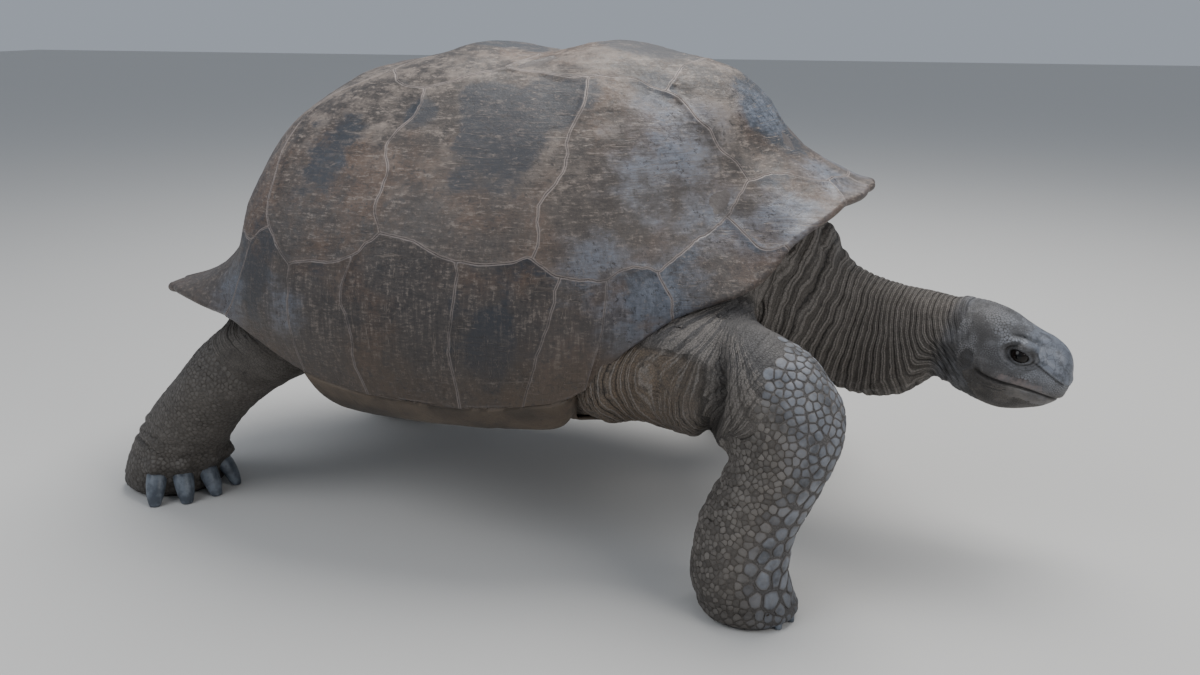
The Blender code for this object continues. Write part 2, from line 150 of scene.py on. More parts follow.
def through(rows, at):
    """The smooth curve through rows of (key, values...), read at the given keys: cubics end to end."""
    rows = np.array(rows, float)
    keys, values = rows[:, 0], rows[:, 1:]
    at = np.clip(np.asarray(at, float), keys[0], keys[-1])
    step = np.diff(keys)[:, None]
    slope = np.diff(values, axis=0) / step
    inner = (slope[:-1] * step[1:] + slope[1:] * step[:-1]) / (step[:-1] + step[1:])
    tangent = np.vstack([slope[:1], inner, slope[-1:]])
    i = np.clip(np.searchsorted(keys, at, side="right") - 1, 0, len(step) - 1)
    f = ((at - keys[i]) / step[i, 0])[..., None]
    return (
        (2 * f**3 - 3 * f**2 + 1) * values[i]
        + (f**3 - 2 * f**2 + f) * step[i] * tangent[i]
        + (3 * f**2 - 2 * f**3) * values[i + 1]
        + (f**3 - f**2) * step[i] * tangent[i + 1]
    )


def ripple(points, length, seed, waves=7):
    """A smooth wandering value from about -1 to 1: a sum of sines in fixed random directions, each about one
    length from crest to crest."""
    draw = np.random.default_rng(seed)
    dimensions = points.shape[-1]
    way = draw.normal(size=(waves, dimensions))
    way_length = np.linalg.norm(way, axis=1, keepdims=True)
    way *= 2 * np.pi / length * draw.uniform(0.6, 1.5, (waves, 1)) / way_length
    return np.sin(points @ way.T + draw.uniform(0, 2 * np.pi, waves)).sum(-1) / waves**0.5 / 1.2


def shell(turn, down):
    """The shell's outer face: the section's out and up, times the rim's reach and height at that turn."""
    turn, down = np.broadcast_arrays(np.asarray(turn, float), np.asarray(down, float))
    c, s = np.cos(turn), np.sin(turn)
    fore, aft = smoothstep(c, 0.2, 0.9)[..., None], smoothstep(-c, 0.2, 0.85)[..., None]
    section = through(FLANK, down) * (1 - fore - aft)
    section = section + through(FRONT, down) * fore + through(REAR, down) * aft
    out, up = section[..., 0], section[..., 1]
    rim = through(RIM, np.degrees(np.arccos(np.clip(c, -1, 1))))[..., 0]
    length = np.where(c > 0, FRONT_LENGTH, REAR_LENGTH)
    x = TOP_FORWARD * (1 - out) + length * np.sign(c) * np.abs(c) ** np.where(c > 0, 0.93, 0.75) * out
    y = HALF_WIDTH * (1 - 0.04 * c) * np.sign(s) * np.abs(s) ** 0.93 * out
    hump = HUMP * np.cos(2 * np.pi * (x - FIRST_HUMP) / HUMP_LENGTH) * bell(y, HUMP_WIDTH)
    z = rim + (TOP - rim) * up + hump * smoothstep(1 - down, 0.3, 0.6)
    return np.stack([x, y, z], -1) + SHELL_MIDDLE


def on_shell(q, lift=0.0):
    """The shell's face for a point of its plan: q is the way down times the turn's cosine and sine, so the
    plan is a disc with the shell's top in the middle. Lift moves it out along the normal."""
    step = 0.004

    def face(p):
        return shell(np.arctan2(p[..., 1], p[..., 0]), np.clip(np.hypot(p[..., 0], p[..., 1]), 0, 1))

    keep = q * np.minimum(1, (1 - step) / np.maximum(np.hypot(q[..., 0], q[..., 1]), 1e-6))[..., None]
    ahead = face(keep + [step, 0]) - face(keep - [step, 0])
    left = face(keep + [0, step]) - face(keep - [0, step])
    normal = np.cross(ahead, left)
    normal /= np.linalg.norm(normal, axis=-1, keepdims=True)
    return face(q) + normal * np.asarray(lift)[..., None], normal


def wobble(q):
    """Seams wander a little: the plan is pushed about by two ripples, and less and less towards the rim."""
    ease = fade(np.hypot(q[..., 0], q[..., 1]), 0.88, 0.99)[..., None]
    slow = np.stack([ripple(q, 0.16, 3), ripple(q, 0.16, 4)], -1)
    quick = np.stack([ripple(q, 0.035, 5), ripple(q, 0.035, 6)], -1)
    return q + (0.008 * slow + 0.0015 * quick) * ease


# Where seams meet, on the left half of the plan. The right half mirrors it.
CORNERS = {
    "s0": (0.865, 0.050), "s1": (0.836, 0.178), "a1": (0.669, 0.375), "s2": (0.626, 0.476),
    "s3": (0.485, 0.662), "s4": (0.374, 0.703), "s5": (0.275, 0.700), "c1": (0.207, 0.697),
    "s6": (0.082, 0.720), "c2": (-0.027, 0.688), "s7": (-0.064, 0.732), "s8": (-0.161, 0.760),
    "c3": (-0.226, 0.686), "s9": (-0.285, 0.712), "s10": (-0.520, 0.590), "c5": (-0.735, 0.330),
    "s11": (-0.810, 0.220),
    "a2": (0.374, 0.300), "a3": (0.188, 0.326), "a4": (0.025, 0.265), "a5": (-0.047, 0.366),
    "a6": (-0.190, 0.300), "a7": (-0.320, 0.375), "a8": (-0.520, 0.285),
    "m1": (0.405, 0), "m2": (0.015, 0), "m3": (-0.245, 0), "m4": (-0.540, 0),
}
MIDDLE_PLATES = (
    ("m1", "a2", "a1", "s1", "s0"), ("m2", "a4", "a3", "a2", "m1"), ("m3", "a6", "a5", "a4", "m2"),
    ("m4", "a8", "a7", "a6", "m3"), ("s11", "c5", "a8", "m4"),
)
SIDE_PLATES = (
    ("a1", "a2", "a3", "c1", "s5", "s4", "s3", "s2"), ("a3", "a4", "a5", "c2", "s6", "c1"),
    ("a5", "a6", "a7", "c3", "s8", "s7", "c2"), ("a7", "a8", "c5", "s10", "s9", "c3"),
)
# Rim plates: (corners along the inner seam, turn of the first and of the last seam at the rim in degrees).
RIM_PLATES = (
    (("s0", "s1"), 3.5, 17), (("s1", "a1", "s2"), 17, 33), (("s2", "s3"), 33, 53), (("s3", "s4"), 53, 66),
    (("s4", "s5"), 66, 75), (("s5", "c1", "s6"), 75, 84), (("s6", "c2", "s7"), 84, 94),
    (("s7", "s8"), 94, 103), (("s8", "c3", "s9"), 103, 119), (("s9", "s10"), 119, 140),
    (("s10", "c5", "s11"), 140, 164),
)
SEAM_DEPTH = 0.0009
SEAM_WIDTH = 0.0012
PLATE_THICK = 0.0035
SCALLOP, SCALLOP_SUNK = 0.0050, 0.0018
OUTLINE_STEP = 0.011


def outline(corners, spacing):
    """Points along straight runs from corner to corner, about one spacing apart."""
    ends = np.roll(corners, -1, axis=0)
    counts = np.maximum(2, np.ceil(np.linalg.norm(ends - corners, axis=1) / spacing)).astype(int)
    runs = [a + (b - a) * np.arange(n)[:, None] / n for a, b, n in zip(corners, ends, counts)]
    return np.vstack(runs)


def relief(seam, grown, points, tone):
    """Height of a plate's face: a shallow groove at the seam, faint growth ridges that run round with the
    outline, and broad unevenness."""
    groove = -SEAM_DEPTH * bell(seam, SEAM_WIDTH) * (0.65 + 0.35 * ripple(points, 0.05, 14))
    growth = 0.00016 * np.sin(70 * grown + 3 * ripple(points, 0.12, 11) + 6 * tone)
    growth = growth * smoothstep(grown, 0.35, 0.8)
    broad = 0.0012 * ripple(points, 0.16, 12) + 0.0004 * ripple(points, 0.03, 13)
    return groove + (growth + broad - 0.0012) * smoothstep(seam, 0, 0.010)


def round_plate(corners, tone):
    """One closed plate: rings that shrink from the outline to the old patch in its middle, v from 1 to 0,
    and the same way back underneath. Seam is each point's distance from the outline, as the nearest of its
    short runs. Returns points, faces and the values that its finish reads."""
    edge = outline(np.array(corners), OUTLINE_STEP)
    centre = edge.mean(0)
    level = 1 - (1 - np.linspace(0, 1, 27)[1:]) ** 1.7
    q = wobble(centre + level[:, None, None] * (edge - centre))
    flat, normal = on_shell(q)
    start = flat[-1]
    run = np.roll(start, -1, axis=0) - start
    from_start = flat[:, :, None] - start
    share = np.clip((from_start * run).sum(-1) / (run**2).sum(-1), 0, 1)
    seam = np.linalg.norm(from_start - share[..., None] * run, axis=-1).min(-1)
    grown = np.broadcast_to(level[:, None], seam.shape)
    top = flat + normal * relief(seam, grown, flat, tone)[..., None]
    under = np.array(
        [on_shell(wobble(centre + v * (edge - centre)), -PLATE_THICK)[0] for v in (1, 0.66, 0.33)]
    )
    middle_q = wobble(centre[None])
    height = relief(seam[:1].max(1), np.zeros(1), on_shell(middle_q)[0], tone)
    middle = np.array([on_shell(middle_q, height)[0][0], on_shell(middle_q, -PLATE_THICK)[0][0]])
    rings = np.concatenate([top, under])
    values = np.zeros((len(rings), len(edge), 2))
    values[: len(top), :, 0], values[: len(top), :, 1] = seam, grown
    points = np.vstack([rings.reshape(-1, 3), middle])
    values = np.vstack([values.reshape(-1, 2), [[seam[0].mean(), 0], [0, 0]]])
    return points, ring_faces(len(rings), len(edge), True), values


def ring_faces(count, sides, outwards):
    """Triangles that join rings of points, and a fan at each end to the two points that follow them. They are
    turned round if not outwards, so that they face out whichever way the rings run."""
    ring, side = np.meshgrid(np.arange(count - 1), np.arange(sides), indexing="ij")
    after = (side + 1) % sides
    a, b = ring * sides + side, ring * sides + after
    walls = np.stack([a, a + sides, b + sides, a, b + sides, b], -1).reshape(-1, 3)
    side = np.arange(sides)
    after = (side + 1) % sides
    first = np.stack([np.full(sides, count * sides), side, after], -1)
    last_ring = (count - 1) * sides
    last = np.stack([np.full(sides, count * sides + 1), last_ring + after, last_ring + side], -1)
    faces = np.vstack([walls, first, last])
    return faces if outwards else faces[:, ::-1]


def rim_plate(corners, first, last, tone):
    """One closed rim plate: across it u runs from seam to seam. Round it v runs down the outer face,
    through two quarter turns round the edge, and back up inside the wall at the wall's depth, which thins
    above the rim."""
    corners = np.array(corners)
    lengths = np.concatenate([[0], np.cumsum(np.linalg.norm(np.diff(corners, axis=0), axis=1))])
    counts = np.maximum(2, np.ceil(np.diff(lengths) / OUTLINE_STEP)).astype(int)
    near = np.array([0.004, 0.009, 0.017, 0.035])
    steps = [a + (b - a) * np.arange(n) / n for a, b, n in zip(lengths[:-1], lengths[1:], counts)]
    whole = lengths[-1]
    u = np.unique(np.concatenate([*steps, [whole], near * whole, (1 - near) * whole])) / whole
    top = np.stack([np.interp(u * whole, lengths, corners[:, k]) for k in (0, 1)], -1)
    turn = np.radians(first + (last - first) * u)
    edge_q = np.stack([np.cos(turn), np.sin(turn)], -1)
    edge, edge_normal = on_shell(edge_q)
    down_way = edge - shell(turn, 0.98)
    fall = np.linalg.norm(down_way, axis=-1, keepdims=True) / 0.02
    down_way /= fall * 0.02
    degrees = np.degrees(np.arccos(np.clip(np.cos(turn), -1, 1)))
    bridge = smoothstep(degrees, 54, 66) * fade(degrees, 105, 115)
    radius = (SHELL_WALL / 2 * (1 - 0.8 * bridge))[:, None]
    stop = (1 - radius / fall) * edge_q
    even = np.linspace(0, 1, 18)[1:]
    slower = 0.4 * even + 0.6 * (1 - (1 - even) ** 1.7)
    v = np.concatenate([[0, *near], 0.035 + 0.965 * slower])[:, None, None]
    q = wobble(top + v * (stop - top))
    flat, normal = on_shell(q)
    thick = PLATE_THICK + (SHELL_WALL - PLATE_THICK) * smoothstep(np.hypot(q[..., 0], q[..., 1]), 0.90, 0.935)
    inner = (flat - normal * thick[..., None])[-2::-1]
    bend = np.linspace(0, np.pi, 9)[1:, None, None]
    deep = np.where(bend <= np.pi / 2 + 0.01, radius, SHELL_WALL - radius)
    centre = edge - edge_normal * deep - down_way * radius
    around = edge_normal * np.cos(bend) + down_way * np.sin(bend)
    face = np.concatenate([flat, centre + radius * around, inner])
    out = np.concatenate([normal, around, -normal[-2::-1]])
    low = np.concatenate([v**6, np.ones((8, 1, 1)), v[-2::-1] ** 6])
    free = (1 - bridge)[:, None] * down_way
    face = face + low * free * (SCALLOP * np.sin(np.pi * u) ** 0.8 - SCALLOP_SUNK)[:, None]
    along = np.pad(np.cumsum(np.linalg.norm(np.diff(face, axis=0), axis=-1), axis=0), ((1, 0), (0, 0)))
    across = np.pad(np.cumsum(np.linalg.norm(np.diff(face, axis=1), axis=-1), axis=1), ((0, 0), (1, 0)))
    seam = np.minimum(along, np.minimum(across, across[:, -1:] - across))
    grown = np.broadcast_to(1 - np.minimum(u, 1 - u) * 1.2, seam.shape) * smoothstep(seam, -0.02, 0.03)
    outside = smoothstep(len(v) + 6 - np.arange(len(face)), 0, 5)
    face = face + out * (relief(seam, grown, face, tone) * outside[:, None])[..., None]
    sides, half_way = len(face), (len(face) - 1) // 2
    walls = ring_faces(len(u), sides, False)[: 2 * (len(u) - 1) * sides]
    i = np.arange(half_way)
    zipped = np.vstack([
        np.stack([i, i + 1, sides - 1 - i], -1), np.stack([i + 1, sides - 2 - i, sides - 1 - i], -1)[:-1],
    ])
    faces = np.vstack([walls, zipped[:, ::-1], zipped + (len(u) - 1) * sides])
    values = np.stack([seam.T.ravel(), grown.T.ravel()], -1)
    return face.transpose(1, 0, 2).reshape(-1, 3), faces, values


def keep_values(mesh, values):
    """Gives a mesh its own named values at each point, for its finish to read."""
    for key, data in values.items():
        layer = mesh.attributes.new(key, "FLOAT", "POINT")
        layer.data.foreach_set("value", np.ascontiguousarray(data, np.float32))


def mesh_object(name, points, faces, values=None):
    """A named object at the origin, with its own values at each point for its finish to read."""
    mesh = bpy.data.meshes.new(name)
    mesh.vertices.add(len(points))
    mesh.vertices.foreach_set("co", np.ascontiguousarray(points, np.float32).ravel())
    mesh.loops.add(faces.size)
    mesh.loops.foreach_set("vertex_index", np.ascontiguousarray(faces, np.int32).ravel())
    mesh.polygons.add(len(faces))
    mesh.polygons.foreach_set("loop_start", np.arange(0, faces.size, faces.shape[1], dtype=np.int32))
    keep_values(mesh, values or {})
    mesh.update(calc_edges=True)
    mesh.validate()
    mesh.shade_smooth()
    thing = bpy.data.objects.new(name, mesh)
    bpy.context.collection.objects.link(thing)
    return thing


def joined(name, shapes):
    """One object from many (points, faces, values) shapes, each with a tone of its own."""
    starts = np.cumsum([0] + [len(points) for points, _, _ in shapes])
    points = np.vstack([s[0] for s in shapes])
    faces = np.vstack([s[1] + start for s, start in zip(shapes, starts)])
    values = np.vstack([s[2] for s in shapes])
    tone = np.repeat(np.random.default_rng(8).uniform(0, 1, len(shapes)), [len(s[0]) for s in shapes])
    return mesh_object(name, points, faces, {"seam": values[:, 0], "grown": values[:, 1], "tone": tone})


def numbers(things, key, width=3, kind=np.float32):
    """One key of everything in a mesh's list, a row of numbers for each."""
    flat = np.empty(len(things) * width, kind)
    things.foreach_get(key, flat)
    return flat.reshape(-1, width)


def read_points(mesh):
    return numbers(mesh.vertices, "co").astype(float)


def plan(names, side):
    """The named corners in the plan, on the left half for side 1 and mirrored to the right for side -1."""
    return [(CORNERS[n][0], side * CORNERS[n][1]) for n in names]


middle_shapes, side_shapes, rim_shapes = [], [], []
for number, names in enumerate(MIDDLE_PLATES):
    left = plan(names, 1)
    right = [p for p in plan(names, -1)[::-1] if p[1] != 0]
    middle_shapes.append(round_plate((left + right)[::-1], number))
for number, names in enumerate(SIDE_PLATES):
    for side in (1, -1):
        side_shapes.append(round_plate(plan(names, side)[::-side], number))
for number, (names, first, last) in enumerate(RIM_PLATES):
    for side in (1, -1):
        corners, ends = plan(names, side), (side * first, side * last)
        if side < 0:
            corners, ends = corners[::-1], ends[::-1]
        rim_shapes.append(rim_plate(corners, *ends, number))
rim_shapes.append(rim_plate(plan(["s0"], -1) + plan(["s0"], 1), -3.5, 3.5, 20))
rim_shapes.append(rim_plate(plan(["s11"], 1) + plan(["s11"], -1), 164, 196, 21))

middle_plates = joined("middle_plates", middle_shapes)
side_plates = joined("side_plates", side_shapes)
rim_plates = joined("rim_plates", rim_shapes)

# The bone bowl under the plates, which shows only inside the two openings. Its rings run down the outer face
# and back up inside the wall.
turn = np.linspace(0, 2 * np.pi, 160, endpoint=False)
round_q = np.stack([np.cos(turn), np.sin(turn)], -1)
outer = [on_shell(round_q * down, -PLATE_THICK * 1.2)[0] for down in np.linspace(0.03, 0.985, 40)]
inner = [on_shell(round_q * down, -SHELL_WALL - 0.0005)[0] for down in np.linspace(0.975, 0.05, 30)]
bowl = np.array(outer + inner)
bowl_points = np.vstack([bowl.reshape(-1, 3), bowl[0].mean(0), bowl[-1].mean(0)])
bone_bowl = mesh_object("bone_bowl", bowl_points, ring_faces(len(bowl), len(turn), True))


def painter(name, roughness):
    """A new material, and a function that adds a node to it. The function takes the node's kind, its
    sockets' values (numbers, colours or other nodes' sockets) and its settings, and gives back its first
    output."""
    material = bpy.data.materials.new(name)
    material.use_nodes = True
    tree = material.node_tree
    shader = tree.nodes["Principled BSDF"]
    shader.inputs["Roughness"].default_value = roughness

    def add(kind, sockets, output=0, **settings):
        node = tree.nodes.new("ShaderNode" + kind)
        for key, value in settings.items():
            setattr(node, key, value)
        for key, value in sockets.items():
            if isinstance(value, bpy.types.NodeSocket):
                tree.links.new(value, node.inputs[key])
            else:
                node.inputs[key].default_value = value
        return node.outputs[output]

    def finish(colour, roughness_from=None, height=None, distance=0.001):
        """Wires colour, roughness and a height in metres, given as bump, to the shader."""
        tree.links.new(colour, shader.inputs["Base Color"])
        if roughness_from is not None:
            tree.links.new(roughness_from, shader.inputs["Roughness"])
        if height is not None:
            relief_node = add("Bump", {"Height": height, "Distance": distance, "Strength": 1.0})
            tree.links.new(relief_node, shader.inputs["Normal"])

    return material, shader, add, finish


def speckle(add, place, stretch, scale, detail=3.0, rough=0.55, turned=(0, 0, 0)):
    """Cloudy noise from 0 to 1, stretched by its own amount along each axis."""
    spot = add("Mapping", {"Vector": place, "Scale": stretch, "Rotation": turned})
    return add("TexNoise", {"Vector": spot, "Scale": scale, "Detail": detail, "Roughness": rough})


def ease(add, value, low, high, to_low=0.0, to_high=1.0):
    """The value carried from one range to another, smoothly, and held at its ends."""
    sockets = {"Value": value, "From Min": low, "From Max": high, "To Min": to_low, "To Max": to_high}
    return add("MapRange", sockets, interpolation_type="SMOOTHSTEP")


def maths(add, operation, first, second=0.0):
    return add("Math", {0: first, 1: second}, operation=operation)


def times(add, first, second):
    return maths(add, "MULTIPLY", first, second)


def plus(add, first, second):
    return maths(add, "ADD", first, second)


def minus(add, first, second):
    return maths(add, "SUBTRACT", first, second)


def tint(add, first, second, share):
    """One colour laid over another by a share from 0 to 1."""
    return add("Mix", {0: share, 6: first, 7: second}, output=2, data_type="RGBA", blend_type="MIX")


def read(add, name):
    """A value kept at each point of the piece."""
    return add("Attribute", {}, output=2, attribute_name=name)


def hair_lines(add, place, stretch, scale, width, turned=(0, 0, 0)):
    """Thin wandering scratches: where stretched noise crosses its own middle, within a width."""
    noise = speckle(add, place, stretch, scale, 2.0, 0.5, turned)
    return ease(add, maths(add, "ABSOLUTE", minus(add, noise, 0.5)), 0.0, width, 1.0, 0.0)


# Worn horn: brown with fine fibres that lie level on the upper shell and upright low on its sides, rusty
# between the plates, dark where a plate is oldest, dusty scratches and an earthy tan low on the flanks. A
# few plates are polished and carry a painted blue reflection of the sky. Each mark is (ahead, out to the
# side, up, reach), and the right side mirrors the left.
PAINTED_SHEENS = (
    (0.315, 0.175, 0.560, 0.080), (0.275, 0.220, 0.515, 0.065), (0.370, 0.205, 0.480, 0.060),
    (0.500, 0.060, 0.515, 0.050), (0.452, 0.166, 0.470, 0.050), (0.395, 0.045, 0.602, 0.055),
    (0.335, 0.278, 0.390, 0.060), (0.276, 0.306, 0.352, 0.045), (-0.292, 0.310, 0.350, 0.060),
    (-0.180, 0.355, 0.345, 0.050), (0.245, 0.300, 0.430, 0.050),
)
DARKS = (
    (0.106, 0.249, 0.583, 0.060), (0.150, 0.205, 0.615, 0.055), (0.067, 0.225, 0.620, 0.055),
    (0.420, 0.030, 0.590, 0.065), (0.240, 0.020, 0.676, 0.060), (0.020, 0.010, 0.665, 0.050),
    (-0.020, 0.236, 0.603, 0.035), (-0.110, 0.235, 0.560, 0.030), (-0.247, 0.331, 0.373, 0.050),
    (0.270, 0.130, 0.635, 0.035), (0.115, 0.353, 0.322, 0.050), (-0.260, 0.060, 0.570, 0.050),
    (-0.190, 0.290, 0.430, 0.045), (0.330, 0.290, 0.400, 0.040),
)
HORN_BROWN = (0.074, 0.061, 0.054, 1)
HORN_RUST = (0.140, 0.085, 0.057, 1)
HORN_PALE = (0.310, 0.254, 0.214, 1)
HORN_DARK = (0.022, 0.020, 0.021, 1)
HORN_BLUE = (0.024, 0.031, 0.043, 1)
PAINTED_SKY_SHEEN = (0.180, 0.210, 0.268, 1)
HORN_TAN = (0.118, 0.078, 0.047, 1)
SEAM_PALE = (0.330, 0.275, 0.250, 1)


def marks(points, places):
    """How far any mark covers each point: the most of exp(-(distance / reach) squared) over all places."""
    at = np.array(places)
    from_middle = (points - SHELL_MIDDLE)[:, None]
    gap = np.abs(from_middle) * [0, 1, 0] + from_middle * [1, 0, 1] - at[:, :3]
    return np.exp(-(gap**2).sum(-1) / at[:, 3] ** 2).max(1)


def shell_horn():
    """Colour laid over colour by noise, marks, height and distance from a seam, on a relief of fibres and
    grain."""
    material, shader, add, finish = painter("worn_shell_horn", 0.5)
    place = add("TexCoord", {}, output=3)
    height_up = add("SeparateXYZ", {"Vector": place}, output=2)
    seam, grown, tone = read(add, "seam"), read(add, "grown"), read(add, "tone")
    low_down = ease(add, height_up, 0.36, 0.52, 1.0, 0.0)
    level = speckle(add, place, (0.8, 0.8, 7.0), 30, 6.0, 0.74, (0.0, 0.06, 0.0))
    upright = speckle(add, place, (7.0, 7.0, 0.7), 30, 6.0, 0.72)
    slanted = speckle(add, place, (6.0, 6.0, 0.8), 22, 5.0, 0.7, (0.0, 0.9, 0.5))
    fibre = add("Mix", {0: low_down, 2: level, 3: upright}, data_type="FLOAT")
    fine = speckle(add, place, (1.0, 1.0, 3.2), 95, 4.0, 0.75)
    fibre = add("Mix", {0: 0.30, 2: fibre, 3: slanted}, data_type="FLOAT")
    fibre = add("Mix", {0: 0.42, 2: fibre, 3: fine}, data_type="FLOAT")
    cloud = speckle(add, place, (1, 1, 1), 7, 5.0, 0.65)
    patchy = speckle(add, place, (1, 1, 1.6), 19, 5.0, 0.68)
    grain = speckle(add, place, (1, 1, 1), 130, 4.0, 0.72)
    colour = tint(add, HORN_BROWN, HORN_RUST, ease(add, cloud, 0.44, 0.66, 0.0, 0.92))
    colour = tint(add, colour, HORN_DARK, ease(add, patchy, 0.52, 0.34, 0.0, 0.55))
    colour = tint(add, colour, HORN_PALE, ease(add, fibre, 0.51, 0.60, 0.0, 0.72))
    colour = tint(add, colour, HORN_DARK, ease(add, fibre, 0.50, 0.38, 0.0, 0.90))
    upper = ease(add, height_up, 0.44, 0.64)
    colour = tint(add, colour, HORN_PALE, times(add, upper, ease(add, patchy, 0.44, 0.64, 0.0, 0.60)))
    stray = times(add, minus(add, cloud, 0.5), 1.5)
    stray = plus(add, stray, times(add, minus(add, patchy, 0.5), 1.3))
    old = minus(add, times(add, ease(add, grown, 0.75, 0.30), 0.34), 0.10)
    patch = ease(add, plus(add, plus(add, read(add, "darkened"), stray), old), 0.20, 0.50)
    colour = tint(add, colour, HORN_BLUE, times(add, patch, ease(add, fibre, 0.62, 0.46, 0.55, 0.97)))
    # Painted reflection: the blue sky laid as colour over the polished plates, where the horn is also less
    # rough.
    painted_sheen = ease(add, plus(add, read(add, "painted_sheen_marks"), times(add, stray, 0.9)), 0.20, 0.95)
    painted_sheen_here = times(add, painted_sheen, ease(add, fibre, 0.40, 0.58, 0.32, 0.88))
    painted_sheen_here = times(add, painted_sheen_here, ease(add, patchy, 0.36, 0.56, 0.35, 1.0))
    colour = tint(add, colour, PAINTED_SKY_SHEEN, painted_sheen_here)
    earth = times(add, ease(add, height_up, 0.36, 0.24), ease(add, cloud, 0.35, 0.60, 0.20, 0.85))
    colour = tint(add, colour, HORN_TAN, earth)
    colour = tint(add, colour, HORN_DARK, ease(add, grain, 0.47, 0.31, 0.0, 0.80))
    colour = tint(add, colour, HORN_PALE, ease(add, grain, 0.58, 0.74, 0.0, 0.55))
    level_marks = hair_lines(add, place, (0.3, 0.3, 9.0), 16, 0.010)
    upright_marks = hair_lines(add, place, (9.0, 9.0, 0.35), 11, 0.010, (0.08, 0.05, 0.0))
    scratches = maths(add, "MAXIMUM", times(add, upright_marks, low_down), level_marks)
    worn = ease(add, speckle(add, place, (1, 1, 1), 12, 2.0, 0.5), 0.46, 0.58)
    scratches = times(add, scratches, worn)
    colour = tint(add, colour, HORN_PALE, times(add, scratches, 0.60))
    wander = times(add, minus(add, grain, 0.5), 0.0018)
    seam_at = plus(add, seam, wander)
    lip = times(add, ease(add, seam_at, 0.0026, 0.0013), ease(add, patchy, 0.38, 0.54, 0.40, 1.0))
    colour = tint(add, colour, SEAM_PALE, times(add, lip, 0.80))
    # Painted shadow: a thin dark line down in each seam's groove.
    colour = tint(add, colour, HORN_DARK, ease(add, seam_at, 0.0008, 0.0002, 0.0, 0.75))
    # Painted shade: the shell darker low down its sides.
    colour = tint(add, colour, HORN_DARK, ease(add, height_up, 0.58, 0.30, 0.0, 0.50))
    colour = tint(add, colour, HORN_PALE, ease(add, tone, 0.0, 1.0, 0.0, 0.10))
    rough = ease(add, grain, 0.3, 0.7, 0.42, 0.66)
    rough = plus(add, rough, times(add, scratches, 0.12))
    rough = minus(add, rough, times(add, painted_sheen, 0.20))
    height = plus(add, times(add, fibre, 0.75), times(add, grain, 0.50))
    height = minus(add, height, times(add, scratches, 0.3))
    finish(colour, rough, height, 0.0015)
    shader.inputs["Specular IOR Level"].default_value = 0.5
    return material


shell_paint = shell_horn()
for plates in (middle_plates, side_plates, rim_plates):
    at = read_points(plates.data)
    keep_values(plates.data, {"painted_sheen_marks": marks(at, PAINTED_SHEENS), "darkened": marks(at, DARKS)})
    plates.data.materials.append(shell_paint)
    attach(plates, "root")
    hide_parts("carapace")

bone_paint, _, add, finish = painter("old_bone", 0.8)
place = add("TexCoord", {}, output=3)
bone = tint(add, (0.10, 0.075, 0.055, 1), (0.045, 0.036, 0.030, 1), speckle(add, place, (1, 1, 1), 30, 4.0))
finish(bone, None, speckle(add, place, (1, 1, 1), 120, 3.0), 0.001)
bone_bowl.data.materials.append(bone_paint)
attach(bone_bowl, "root")
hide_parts("carapace")

# ---- The skin ----
# One hide covers the neck, head, legs, tail and the flesh that closes the shell's two openings. It is laid
# over the same rings and walls as the solids, a little inside them, joined into one closed surface, rounded
# where a limb leaves the body, and then folded: tight pleats across the neck, slack folds at the shoulders,
# creases at joints.
RIGHT_FORE_LEG = (
    (0, 0.457, -0.333, 0, 0.052, 0.052, 0, 0),
    (0.04, 0.456, -0.333, 0.008, 0.060, 0.060, 0, 0),
    (0.16, 0.442, -0.334, 0.052, 0.063, 0.062, 2, 0),
    (0.32, 0.445, -0.335, 0.105, 0.067, 0.060, 5, 0),
    (0.48, 0.470, -0.333, 0.162, 0.071, 0.062, 10, 0),
    (0.62, 0.490, -0.327, 0.214, 0.077, 0.066, 20, -2),
    (0.74, 0.485, -0.316, 0.256, 0.087, 0.070, 42, -6),
    (0.85, 0.452, -0.298, 0.278, 0.091, 0.072, 62, -12),
    (0.93, 0.405, -0.268, 0.276, 0.086, 0.080, 78, -20),
    (1, 0.335, -0.225, 0.270, 0.082, 0.086, 88, -26),
)
LEFT_FORE_LEG = (
    (0, 0.322, 0.331, 0, 0.052, 0.052, 0, 0),
    (0.04, 0.321, 0.331, 0.008, 0.060, 0.060, 0, 0),
    (0.16, 0.312, 0.332, 0.052, 0.063, 0.062, 0, 0),
    (0.32, 0.318, 0.332, 0.105, 0.067, 0.060, 3, 0),
    (0.48, 0.345, 0.329, 0.158, 0.071, 0.062, 14, 0),
    (0.62, 0.372, 0.321, 0.203, 0.077, 0.066, 26, 4),
    (0.74, 0.385, 0.307, 0.238, 0.085, 0.070, 46, 10),
    (0.85, 0.378, 0.286, 0.256, 0.088, 0.073, 62, 16),
    (0.93, 0.352, 0.258, 0.262, 0.084, 0.080, 76, 22),
    (1, 0.300, 0.222, 0.264, 0.080, 0.086, 86, 26),
)
RIGHT_HIND_LEG = (
    (0, -0.498, -0.204, 0, 0.064, 0.066, 0, 0),
    (0.04, -0.497, -0.204, 0.010, 0.074, 0.075, 0, 0),
    (0.2, -0.482, -0.213, 0.055, 0.076, 0.075, 0, 0),
    (0.36, -0.449, -0.227, 0.103, 0.070, 0.070, -10, 0),
    (0.5, -0.409, -0.237, 0.147, 0.064, 0.066, -25, 0),
    (0.65, -0.370, -0.240, 0.188, 0.062, 0.066, -38, 0),
    (0.8, -0.325, -0.233, 0.230, 0.066, 0.070, -42, 0),
    (1, -0.250, -0.200, 0.275, 0.070, 0.078, -45, 0),
)
